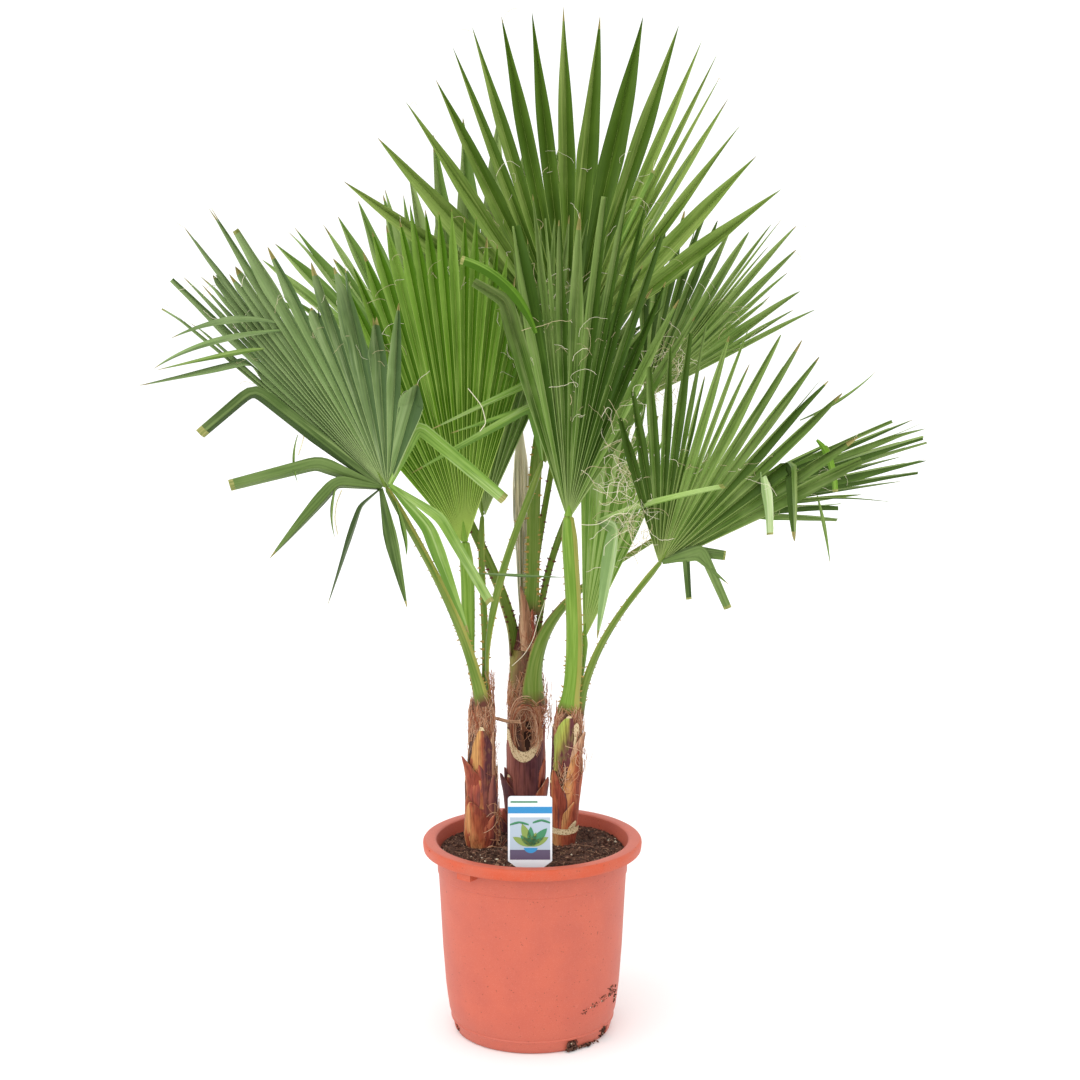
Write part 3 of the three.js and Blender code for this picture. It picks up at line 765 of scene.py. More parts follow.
@dataclass(frozen=True)
class Frond:
    """One frond: the values of the part's source, then its look.

    The source's values are the hub, the middle and sideways directions, the count of leaflets, their
    bearings, reaches and splits from side to side, the stalk (stem, offset, height and widths) and its bends.
    """

    name: str
    hub: Point
    mid: Point
    side: Point
    count: int
    fan: tuple[float, ...]
    reach: tuple[float, ...]
    split: tuple[float, ...]
    stalk: tuple[str, float, float, float, float, float]
    bends: tuple[Point, Point]
    seed: int
    sag: float = 0.0
    limp: float = 0.0
    cup: float = 0.0
    blunt: float = 0.0
    folds: tuple[tuple[float, ...], ...] = ()
    leaf: Leaf = Leaf.CROWN
    torn: float = 0.0  # share of leaflets that are torn into finer ones
    pleat: float = 0.8  # steepness of the fold along each rib
    taper: float = 0.85  # how early a leaflet narrows to its tip
    dusk: tuple[float, float] = (0.0, 0.0)  # span of the fan, from left to right, that is dealt a darker tone as painted shade
    lit: tuple[float, float] = (0.0, 0.0)  # span that is dealt a lighter tone as painted light
    stout: tuple[float, float] = (1.0, 1.0)  # widths of the stalk at foot and hub, against the source's
    turned: bool = False  # shows the brown margin of its stalk broadly
    faced: float = 0.0  # how far the stalk's flat side turns to the fan's at its foot
    costa: float = 0.45  # length of the rib that runs on into the blade
    thorns: Thorns = Thorns.HORN


FRONDS = (
    Frond("left_low", (-207, -150, 866), (-0.435, -0.227, 0.871), (0.889, -0.26, 0.376), 11,
          (-23.8, -19.5, -14.6, -6.2, 6.8, 22.3, 49.5), (410, 430, 410, 481, 451, 345, 330, 178),
          (0.6, 0.62, 0.66, 0.7, 0.66, 0.8), ("left", 1, -13, 517, 22, 12),
          ((-103, -23, 652), (-155, -87, 756)), 12, limp=0.02, blunt=0.3,
          folds=((1, 0.6, -0.97, -0.1, -0.22),), leaf=Leaf.GREY, torn=0.5, pleat=1.0, taper=0.6,
          lit=(0.9, 1.0), stout=(0.82, 1.0), turned=True),
    Frond("left_upright", (-102, -5, 763), (-0.075, 0.099, 0.992), (0.997, 0.007, 0.075), 24,
          (-36, -22, -9, 2, 12, 23), (320, 400, 490, 518, 500, 440, 330), (0.76, 0.8, 0.82, 0.8, 0.78),
          ("left", -8, 1, 517, 19, 21), ((-104, 20, 600), (-94, 12, 682)), 23, cup=0.1,
          leaf=Leaf.FRESH, pleat=0.9, taper=0.75),
    Frond("left_behind", (-77, 70, 793), (-0.066, 0.298, 0.952), (0.998, 0.02, 0.063), 10, (-15, 0, 16, 28),
          (560, 640, 660, 600, 430), (0.6, 0.66, 0.7, 0.66, 0.6), ("left", 3, 13.5, 517, 12, 10),
          ((-66, 37, 608), (-84, 53, 703)), 37, cup=0.02, leaf=Leaf.BACKLIT, taper=0.75),
    Frond("cross", (16, 30, 882), (0.064, 0.099, 0.993), (0.998, -0.006, -0.064), 12, (-16, 4, 36),
          (300, 360, 380, 350, 300), (0.5, 0.55, 0.6, 0.55, 0.5), ("left", 13.5, 0, 517, 13, 10),
          ((-85, 10, 649), (-29, 14, 767)), 41, limp=0.02, cup=0.02, blunt=0.2, leaf=Leaf.OLIVE,
          taper=0.62, stout=(1.3, 1.1)),
    Frond("back_left", (-163, 170, 969), (-0.42, 0.603, 0.678), (0.891, 0.415, 0.184), 12,
          (-37, -12.6, 10.4, 34), (341, 391, 424, 417, 470, 477, 416), (0.5, 0.55, 0.6, 0.55, 0.5),
          ("middle", -17.5, -3, 577.5, 18, 11), ((-36, 95, 703), (-156, 157, 838)), 53, limp=0.04,
          leaf=Leaf.BACKLIT, torn=0.1, taper=0.75, stout=(1.5, 1.1), faced=1.2, thorns=Thorns.DARK),
    Frond("crown", (58, 105, 1052), (0, 0.067, 0.998), (1, 0, 0), 19,
          (-58.5, -37.8, -24.1, -16.1, -6, 4.7, 19.1, 26.1, 30.4, 40.4, 56.7),
          (437, 459, 512, 515, 523, 513, 444, 403), (0.42, 0.5, 0.53, 0.5, 0.42),
          ("middle", 5.5, -2, 640, 18, 17), ((8, 99, 777), (-16, 103, 922)), 67, taper=0.8,
          dusk=(0.3, 0.62), lit=(0.7, 0.26), stout=(1.3, 1.1), faced=3.0),
    Frond("back_right", (179, 185, 971), (0.5, 0.574, 0.648), (0.842, -0.148, -0.518), 14,
          (-32.9, -19.2, -9.8, 0, 4.8, 13.7, 25.6), (362, 380, 384, 383, 451, 468, 361, 358),
          (0.5, 0.52, 0.55, 0.5, 0.5), ("middle", 17.8, 2, 577.5, 14, 10),
          ((12, 117, 733), (80, 164, 860)), 79, limp=0.03, blunt=0.2, leaf=Leaf.OLIVE, torn=0.16, taper=0.5,
          lit=(0.5, 1.1), faced=0.9, thorns=Thorns.DARK),
    Frond("far_right", (244, 70, 804), (0.938, 0.106, 0.329), (0.135, 0.764, -0.631), 12,
          (-13.9, -5.7, 4.8, 17.5, 23.7, 39.7), (295, 363, 392, 392, 412, 392, 283, 307),
          (0.5, 0.55, 0.55, 0.5, 0.45), ("middle", 12, -27, 500.5, 24, 9),
          ((-10, 70, 682), (140, 68, 712)), 83, limp=0.02, blunt=0.3, folds=((0, 0.75, 0.15, 0, -1),),
          leaf=Leaf.OLIVE, torn=0.12, taper=0.55, stout=(1.3, 1.3), thorns=Thorns.DARK),
    Frond("front", (53, -75, 812), (0.079, 0.031, 0.996), (0.997, -0.002, -0.079), 13,
          (-23.3, -10.7, -7.7, 2.4, 9.6, 18.8, 29.5), (390, 481, 431, 450, 502, 456, 364, 355),
          (0.62, 0.6, 0.55, 0.5, 0.5), ("right", -2, -10, 496, 25, 19), ((74, 4, 607), (58, -25, 712)), 97,
          limp=0.02, blunt=0.3, folds=((0, 0.82, -0.85, -0.1, 0.5),), leaf=Leaf.DEEP, pleat=1.0,
          taper=0.5, dusk=(0.5, 0.78), lit=(0.8, 1.0), stout=(1.1, 1.25), turned=True, costa=0.22),
    Frond("young", (79, 14, 613), (0.1, -0.03, 0.994), (0.996, 0.02, -0.1), 8, (-7, 20),
          (380, 400, 395, 360, 300), (0.7, 0.72, 0.72, 0.7, 0.6), ("right", 4, 13, 496, 15, 14),
          ((70, 42, 535), (78, 26, 578)), 101, limp=0.03, blunt=0.2, leaf=Leaf.YOUNG, pleat=0.24,
          taper=0.6, costa=0.3),
    Frond("right_low", (187, -120, 752), (0.359, -0.261, 0.896), (0.929, 0.197, -0.314), 16,
          (-38.5, -21.5, -7.9, 8.3, 23.9, 42.9), (246, 313, 375, 365, 400, 368, 352, 330),
          (0.6, 0.5, 0.45, 0.45, 0.5, 0.6), ("right", 16, 0, 496, 16, 10),
          ((90, 14, 611), (146, -46, 683)), 113, limp=0.03, blunt=0.25, folds=((13, 0.64, 0.04, -0.08, -1),),
          leaf=Leaf.OLIVE, torn=0.08, pleat=0.95, taper=0.42, dusk=(0.0, 0.2), lit=(0.36, 0.66), faced=2.0),
    Frond("back_low", (44, 215, 933), (0.027, 0.798, 0.602), (1, -0.022, -0.016), 18, (-50, 50),
          (330, 390, 410, 390, 330), (0.5, 0.55, 0.6, 0.55, 0.5), ("middle", 0, 17.5, 577.5, 14, 10),
          ((-5, 132, 696), (26, 186, 814)), 127, sag=0.08, limp=0.16, cup=0.08, blunt=0.1, leaf=Leaf.OLIVE,
          torn=0.15, taper=0.65, thorns=Thorns.DARK),
)


@dataclass(frozen=True)
class Stem:
    """Rings of height and radius up one stem, and how its top leans off its foot."""

    name: str
    at: tuple[float, float]
    top: tuple[float, float]
    rings: tuple[tuple[float, float], ...]

    def middle(self, z: Number) -> Array:
        """Finds the stem's middle.

        Args:
            z: a height, or a row of heights.

        Returns:
            One point, or one for each height.
        """
        low, high = self.rings[1][0], self.rings[-1][0]
        t = np.maximum(0.0, (np.asarray(z, float) - low) / (high - low))
        return np.stack([self.at[0] + self.top[0] * t, self.at[1] + self.top[1] * t, z + 0 * t], -1)

    def radius(self, z: Number) -> Number:
        """Returns the stem's radius at a height, or at each of a row of heights."""
        return np.interp(z, [r[0] for r in self.rings], [r[1] for r in self.rings])

    def skin(self, compass: float, z: float, lift: float = 0.0) -> Array:
        """Returns a point on the stem's skin, or above it, at a compass angle in degrees and a height."""
        return self.middle(z) + around(self.radius(z) + lift, math.radians(compass), 0.0)


STEMS = {stem.name: stem for stem in (
    Stem("left", (-80, 18), (2, 1), (
        (236, 21), (280, 23), (305, 28), (330, 26), (400, 23), (460, 21.5), (505, 21), (517, 19.5))),
    Stem("middle", (-12, 101), (3, 8), (
        (236, 28), (285, 32), (342, 31), (420, 30), (490, 29.5), (506, 28.5), (566, 26.5), (577, 24),
        (590, 18), (632, 15), (640, 14))),
    Stem("right", (48, 28), (9, 0), (
        (236, 18), (285, 20), (330, 22), (400, 24), (460, 23), (488, 22.5), (496, 21))),
)}


@dataclass
class Leaflet:
    """One leaflet of a fan: where it parts from its neighbours on both sides, and its free run."""

    left: float
    right: float
    left_out: float
    right_out: float
    angle: float
    reach: float
    swing: float
    limp: float
    blunt: bool
    fold: tuple[float, ...] | None

    @property
    def start(self) -> float:
        """Distance from the hub where the leaflet runs free."""
        return (self.left_out + self.right_out) / 2

    @property
    def half(self) -> float:
        """Half its width there."""
        return self.start * math.sin(math.radians((self.right - self.left) / 2))


class Fan:
    """The layout of one fan by the source's rule, with torn leaflets cut on into finer ones."""

    SPREAD = {"reach": 0.03, "split": 0.08, "swing": 0.8, "bend": 0.07}
    STEPS = 24
    FINER_SEED = 4000

    def __init__(self, frond: Frond) -> None:
        """Deals the leaflets and the places where neighbours part.

        Args:
            frond: the frond's values.
        """
        self.frond = frond
        roll = Chance(frond.seed)
        self.hub = np.array(frond.hub, float)
        self.mid = unit(np.array(frond.mid, float))
        side = np.array(frond.side, float)
        self.side = unit(side - self.mid * (side @ self.mid))
        self.face = np.cross(self.side, self.mid)
        self.long = max(frond.reach)
        whole = []
        for i in range(frond.count):
            spread = 1 + (roll() - 0.5) * self.SPREAD["reach"]
            swing = (roll() - 0.5) * self.SPREAD["swing"]
            blunt = roll() < frond.blunt
            limp = frond.limp * (0.6 + 0.8 * roll())
            fold = next((b for b in frond.folds if b[0] == i), None)
            whole.append((along(frond.reach, i / (frond.count - 1)) * spread, swing, blunt, limp, fold))
        cuts = []
        for j in range(frond.count + 1):
            share = j / frond.count
            shorter = min(whole[max(j - 1, 0)][0], whole[min(j, frond.count - 1)][0])
            out = along(frond.split, share) + (roll() - 0.5) * self.SPREAD["split"]
            cuts.append((along(frond.fan, share), shorter * out))
        self.leaflets = list(self._finer(whole, cuts))

    def _finer(self, whole: list, cuts: list[tuple[float, float]]) -> Iterator[Leaflet]:
        """Cuts some leaflets of the source into two or three finer ones.

        Args:
            whole: reach, swing, torn end, fall and fold of each leaflet.
            cuts: bearing and distance of each place where two part.

        Yields:
            The finer leaflets from side to side.
        """
        look, torn = Chance(self.frond.seed + self.FINER_SEED), self.frond.torn
        for i, (reach, swing, blunt, limp, fold) in enumerate(whole):
            (a, out_a), (b, out_b) = cuts[i], cuts[i + 1]
            parts = 1 if fold else 1 + (look() < torn) + (look() < torn / 2)
            inner = [min(reach * 0.9, mix(out_a, out_b, k / parts) * look(1.04, 1.3))
                     for k in range(1, parts)]
            outs = [out_a, *inner, out_b]
            tall = int(look() * parts)
            for k in range(parts):
                left, right = mix(a, b, k / parts), mix(a, b, (k + 1) / parts)
                yield Leaflet(
                    left, right, outs[k], outs[k + 1], (left + right) / 2,
                    reach * (1.0 if k == tall else look(0.8, 0.95)),
                    swing + (k - (parts - 1) / 2) * look(0.2, 1.6), limp + 0.035 * look(),
                    blunt and k == tall, fold)

    def ray(self, angle: float) -> Array:
        """Returns the cupped fan's direction at an angle off its middle."""
        c, s = math.cos(math.radians(angle)), math.sin(math.radians(angle))
        return unit(self.mid * c + self.side * s + self.face * (self.frond.cup * s ** 2))

    def web(self, angle: float, out: Number) -> Array:
        """Returns the point, or points, of the joined web at an angle and a distance from the hub."""
        out = np.asarray(out, float)[..., None]
        return self.hub + self.ray(angle) * out + DOWN * (self.frond.sag * out * out / self.long)

    def free(self, leaf: Leaflet) -> tuple[Array, Array, Array, Array]:
        """Follows the free run of a leaflet, from its split to its tip.

        Args:
            leaf: the leaflet.

        Returns:
            Places, headings, sideways directions and faces at even steps.
        """
        run, start = leaf.reach - leaf.start, leaf.start
        ray = self.ray(leaf.angle + leaf.swing)
        place = self.web(leaf.angle, start)
        across = unit(np.cross(ray, self.face))
        rows = []
        for k in range(self.STEPS + 1):
            q = k / self.STEPS
            out, fall = start + run * q, leaf.limp * q * q
            heading = unit(ray + DOWN * (2 * self.frond.sag * out / self.long))
            heading = unit(mix(heading, DOWN, fall))
            if leaf.fold:
                w = smooth((out / leaf.reach - leaf.fold[1]) / self.SPREAD["bend"])
                heading = unit(mix(heading, unit(np.array(leaf.fold[2:])), w))
            across = unit(across - heading * (across @ heading))
            rows.append((place, heading, across, np.cross(across, heading)))
            place = place + heading * (run / self.STEPS)
        return tuple(np.array(column) for column in zip(*rows))


# Sub-assemblies


def within(share: float, span: tuple[float, float]) -> bool:
    """Tells whether a share lies in a span, which may run over the far end back to the near one."""
    low, high = span
    return low < share < high if low <= high else share > low or share < high


def leaf_slot(name: str) -> str:
    """Returns the record's slot for the leaves of a frond: the low fronds are the grey ones."""
    return "leaf_grey" if name.startswith(("left_low", "right_low", "back_low")) else "leaf_green"


@dataclass
class FanBlade:
    """A pleated fan: joined web near the hub, then free leaflets, each folded along its rib."""

    fan: Fan
    web_rows: int = 10
    cols: int = 4
    rib: float = 0.95
    twist: float = 34.0  # most degrees that a leaflet turns by its tip
    belly: float = 0.3  # how much wider it grows past its root
    bulge: float = 0.10  # crown of each half-blade, as a share of its width
    square: float = 0.54  # width of a torn end, as a share of its root's
    waver: float = 0.05  # how much its width wavers
    slit_most: float = 0.28  # share of leaflets with a slit tip, at most
    slit_open: tuple[float, float] = (14, 34)  # how fast a slit opens
    heap: MeshHeap = field(default_factory=MeshHeap)
    ribs: MeshHeap = field(default_factory=MeshHeap)

    LOOK_SEED = 9000

    def build(self) -> None:
        """Builds every leaflet with its ribs."""
        frond, leaflets = self.fan.frond, self.fan.leaflets
        look = Chance(frond.seed + self.LOOK_SEED)
        pitch = (leaflets[-1].right - leaflets[0].left) / len(leaflets)
        for leaf in leaflets:
            self._leaflet(leaf, frond.pleat * look(0.8, 1.25), pitch, look)

    def _leaflet(self, leaf: Leaflet, pleat: float, pitch: float, look: Chance) -> None:
        """Adds one leaflet as two half-blades with a rib between.

        Args:
            leaf: the leaflet.
            pleat: steepness of its fold.
            pitch: the fan's mean bearing between leaflets, in degrees.
            look: the chance it takes.
        """
        fan, frond = self.fan, self.fan.frond
        places, headings, across, face = fan.free(leaf)
        q = shares(len(places))
        s = np.linspace(0.03, 1, self.web_rows)[:-1]
        twist = np.radians(look(-1, 1) * self.twist) * smooth(q)[:, None]
        across, face = spun(across, face, twist)
        # half the width and the rise of the margins along the free run, and how far a slit tip parts
        half = leaf.half * (mix(1, self.square, q) if leaf.blunt else np.maximum(1 - q, 0.004) ** frond.taper)
        half = half * (1 + self.belly * np.sin(math.pi * q ** 0.8))
        half = half * (1 + self.waver * np.sin(q * 9 + look(0, 6)))
        rise = pleat * (1 + 0.3 * q) * 0.5 * half
        slit = look(0.6, 0.88) if look() < min(self.slit_most, 2.2 * frond.torn) else 2.0
        apart = np.maximum(0, q - slit) ** 1.3 * look(*self.slit_open)
        # the rib's line from hub to tip, sunk between the margins
        sunk = fan.web(leaf.angle, leaf.start * s) - fan.face * (pleat * 0.5 * leaf.half * s)[:, None]
        middle = np.concatenate([sunk, places - face * rise[:, None]])
        # both margins: along the web, then eased over to the free run
        edges = []
        for sign, angle, out in ((-1, leaf.left, leaf.left_out), (1, leaf.right, leaf.right_out)):
            lift = frond.pleat * 0.5 * out * math.sin(math.radians(pitch / 2))
            web = fan.web(angle, out * s) + fan.face * (lift * s)[:, None]
            free = (places + across * (sign * (half + apart))[:, None]
                    + face * mix(lift, rise, smooth(q * 4))[:, None]
                    + headings * ((out - leaf.start) * (1 - smooth(3 * q)))[:, None])
            edges.append(np.concatenate([web, free]))
        gape = np.concatenate([np.zeros((len(s), 3)), across * apart[:, None]])
        normal = np.concatenate([np.repeat(fan.face[None], len(s), 0), face])
        width = np.concatenate([leaf.half * s, half])
        run = np.concatenate([leaf.start * s, leaf.start + (leaf.reach - leaf.start) * q])
        shift = look(0, 900)
        dry = 0.985 if leaf.blunt else 0.99 - 0.05 * look() ** 2
        ends = np.repeat((run[:-1] > leaf.reach * dry)[:, None], self.cols, 1)
        u = shares(self.cols + 1)
        bulge = normal[:, None] * (np.sin(u * math.pi)[None] * width[:, None] * self.bulge)[..., None]
        # two half-blades, each from its margin in to the rib
        for sign, edge in zip((-1, 1), edges):
            inner = middle + gape * sign
            sheet = edge[:, None] * (1 - u)[None, :, None] + inner[:, None] * u[None, :, None] + bulge
            grain = paired(shift + sign * (1 - u)[None] * width[:, None], run[:, None])
            end = LeafTone.TORN if leaf.blunt else LeafTone.TIP
            self.heap.grid(sheet, np.where(ends, end, self._tone(leaf, sign, look)), grain)
        # its own rib, and the thin ones where it joins its neighbours
        stop = len(s) + int(np.searchsorted(q, min(slit, 0.8)))
        joined = len(s) + 1
        self._rib(middle[:stop] - normal[:stop] * 0.3, self.rib)
        self._rib(edges[0][:joined] + normal[:joined] * 0.1, self.rib * 0.7)
        if leaf is fan.leaflets[-1]:
            self._rib(edges[1][:joined], self.rib * 1.3)

    def _tone(self, leaf: Leaflet, sign: int, look: Chance) -> int:
        """Deals a tone to half a leaflet as painted light and shade: lighter on the left slope, darker on the
        right.

        Args:
            leaf: the leaflet.
            sign: which half.
            look: the chance it takes.

        Returns:
            Its finish, made lighter by painted light in the fan's lit span and darker by painted shade in its
            dusk span.
        """
        fan = self.fan
        share = (leaf.angle - fan.leaflets[0].left) / (fan.leaflets[-1].right - fan.leaflets[0].left)
        # painted light and shade: the left slope, which faces the key light from the left, is dealt lighter
        # and the right slope darker
        tone = LeafTone.MIDDLE + ((look() < 0.34) if sign < 0 else -(look() < 0.6))
        # painted light over the fan's lit span and painted shade over its dusk span
        tone = tone + within(share, fan.frond.lit) - within(share, fan.frond.dusk)
        return min(LeafTone.LIGHT, max(LeafTone.DARK, tone))

    def _rib(self, path: Array, thick: float) -> None:
        """Adds one rib that thins towards its end."""
        self.ribs.strand(path, np.linspace(1, 0.3, len(path)) * thick, self.fan.side, sides=4)

    def dress(self) -> None:
        """Makes the blade and rib pieces and stands them in for the node."""
        name, leaf = self.fan.frond.name, self.fan.frond.leaf.value
        settle(self.heap.build(f"fan_{name}", leaf), leaf_slot(name), f"blade_{name}")
        settle(self.ribs.build(f"ribs_{name}", [leaf[LeafTone.RIB]]), leaf_slot(name))


@dataclass
class LooseLeaflets:
    """Leaflets that have come out of a fan and hang or stick out by themselves."""

    rows: int = 34
    cols: int = 6
    heaps: dict[str, MeshHeap] = field(default_factory=dict)

    SEED = 515
    STRAND_SIDE = (0.5, 0.3, 0.75)
    TORN_WIDTH = 12  # strands wider than this end square

    # as in the source: node, leaf colour, root, side and (bend x, y, z, tip x, y, z, width, torn, creased)
    BUNCHES = (
        ("left_low_hanging", Leaf.SHADE, (-216, -156, 869), (0.6, -0.2, 0.4), (
            (-303, -184, 907, -426, -200, 877, 30, 1, 1), (-276, -180, 880, -373, -190, 773, 30, 0, 1),
            (-386, -222, 1016, -461, -226, 953, 26, 1, 1), (-243, -176, 847, -293, -185, 702, 28, 0, 1),
            (-204, -173, 817, -179, -175, 698, 22, 0, 1))),
        ("left_low_inner", Leaf.YOUNG, (-203, -160, 875), (0.8, 0.2, 0.5), (
            (-150, -150, 812, -93, -95, 643, 22, 0, 1), (-132, -148, 826, -62, -90, 690, 18, 1, 1),
            (-162, -150, 958, -39, -120, 848, 22, 1, 1))),
        ("cross_loose", Leaf.YOUNG, (15, 24, 889), (0.7, 0, 0.7), (
            (6, -16, 1014, -152, -60, 943, 15, 0, 1), (4, -12, 976, -178, -60, 880, 16, 0, 1),
            (-2, -10, 972, -121, -50, 938, 13, 0, 1))),
        ("right_low_hanging", Leaf.SHADE, (190, -128, 757), (0.8, -0.2, -0.3), (
            (224, -134, 765, 229, -138, 704, 12, 1, 1), (246, -140, 778, 285, -142, 691, 16, 1, 1),
            (236, -134, 774, 281, -138, 768, 20, 1, 1), (240, -138, 766, 286, -146, 727, 9, 0, 1))),
        ("young_loose", Leaf.GLAUCOUS, (100, 2.2, 800), (0.4, 0, 0.9), (
            (124, -44, 796, 98, -44, 626, 26, 0, 1),)),
    )
    # narrow strands of torn leaflet: leaf colour, three points that they pass and width
    STRANDS = (
        (Leaf.GREY, (-356, -215, 1109), (-422, -235, 1112), (-496, -240, 1088), 10),
        (Leaf.GREY, (-340, -205, 1098), (-443, -235, 1082), (-521, -240, 1046), 9),
        (Leaf.OLIVE, (-372, -215, 1072), (-423, -235, 1065), (-518, -240, 1044), 8),
        (Leaf.GREY, (-84, -5, 720), (-18, -20, 719), (52, -42, 720), 5),
        (Leaf.OLIVE, (135, 20, 1162), (192, 40, 1265), (245, 60, 1358), 11),
        (Leaf.FRESH, (119, 0, 1187), (150, 2, 1255), (181, 6, 1322), 28),
        (Leaf.FRESH, (6, -96, 1088), (-36, -95, 1156), (-102, -94, 1194), 19),
        (Leaf.OLIVE, (381, -167, 968), (441, -160, 998), (491, -155, 1038), 5),
        (Leaf.OLIVE, (407, 135, 813), (486, 135, 817), (574, 132, 810), 3.5),
        (Leaf.OLIVE, (451, 140, 820), (463, 138, 769), (474, 138, 709), 7),
        (Leaf.FRESH, (434, 38, 919), (453, 32, 889), (462, 26, 841), 14),
        (Leaf.GLAUCOUS, (330, -152, 893), (338, -156, 850), (341, -158, 802), 20),
        (Leaf.YOUNG, (100, 2, 800), (176, -175, 851), (275, -185, 875), 18),
        (Leaf.DEEP, (-277, -176, 878), (-286, -178, 840), (-281, -178, 800), 7),
        (Leaf.DEEP, (-196, -150, 850), (-184, -146, 800), (-182, -146, 770), 8),
        (Leaf.OLIVE, (-330, -190, 950), (-337, -190, 915), (-331, -190, 880), 5),
    )

    def build(self) -> None:
        """Builds all bunches and strands."""
        look = Chance(self.SEED)
        t = shares(self.rows)
        for name, leaf, root, side, leaves in self.BUNCHES:
            heap = self.heaps[name] = MeshHeap()
            for *ends, width, torn, creased in leaves:
                start, bend, tip = np.array(root, float), np.array(ends[:3]), np.array(ends[3:])
                path = self._creased(start, bend, tip, t) if creased else bezier((start, bend, tip), t)
                self._ribbon(heap, path, side, width, bool(torn), look)
        for leaf, first, passed, last, width in self.STRANDS:
            bend = 2 * np.array(passed, float) - (np.array(first, float) + np.array(last, float)) / 2
            heap = self.heaps.setdefault(self._strands(leaf), MeshHeap())
            path = bezier((first, bend, last), t)
            self._ribbon(heap, path, self.STRAND_SIDE, width, width > self.TORN_WIDTH, look)

    @staticmethod
    def _strands(leaf: Leaf) -> str:
        """Returns the name for strands of one colour."""
        return "strands_" + leaf.name.lower()

    @staticmethod
    def _creased(start: Array, bend: Array, tip: Array, t: Array) -> Array:
        """Follows a leaflet that is straight on both sides of its bend, with the corner rounded.

        Args:
            start, bend, tip: its points.
            t: shares along it.

        Returns:
            One point for each share.
        """
        low, high = np.linalg.norm(bend - start), np.linalg.norm(tip - bend)
        share, t = low / (low + high), t[:, None]
        return softened(np.where(t < share, mix(start, bend, t / share),
                                 mix(bend, tip, (t - share) / (1 - share))), 2)

    def _ribbon(self, heap: MeshHeap, path: Array, side: Point, width: float, torn: bool,
                look: Chance) -> None:
        """Adds one leaflet along a path, folded along its middle.

        Args:
            heap: where it goes.
            path: its middle line.
            side: its sideways direction at the root.
            width: its full width.
            torn: ends square in place of pointed.
            look: the chance it takes.
        """
        t = shares(len(path))
        _, across, through = carry(path, side)
        across, through = spun(across, through, np.radians(look(-30, 30)) * smooth(t)[:, None])
        tail = 1 - 0.25 * t if torn else np.minimum(1, 1.9 * (1 - t) + 0.01) ** 0.8
        half = (width / 2) * np.minimum(1, 0.3 + t * 1.9) * tail
        u = np.linspace(-1, 1, self.cols + 1)
        fold = np.stack([u, 0.42 * np.abs(u) - 0.16], -1)
        sheet = tube(path, across, through, half, half, fold)
        grain = paired(look(0, 900) + u[None] * half[:, None], lengths(path)[:, None])
        tone = LeafTone.LIGHT if look() < 0.45 else LeafTone.MIDDLE
        finish = np.full((len(path) - 1, self.cols), int(tone))
        # painted shade: one slope of the fold is mostly dealt a darker tone
        finish[:, : self.cols // 2] -= look() < 0.6
        finish[-1 if torn else -2:] = LeafTone.TORN if torn else LeafTone.TIP
        heap.grid(sheet, finish, grain)

    def dress(self) -> None:
        """Makes one piece for each bunch and one for the strands of each colour."""
        for name, leaf, *_ in self.BUNCHES:
            piece = self.heaps[name].build(f"loose_{name}", leaf.value, crease=None)
            settle(piece, leaf_slot(name), f"leaflets_{name}")
        for leaf in Leaf:
            name = self._strands(leaf)
            if name in self.heaps:
                settle(self.heaps[name].build("loose_" + name, leaf.value, crease=None), "leaf_green")


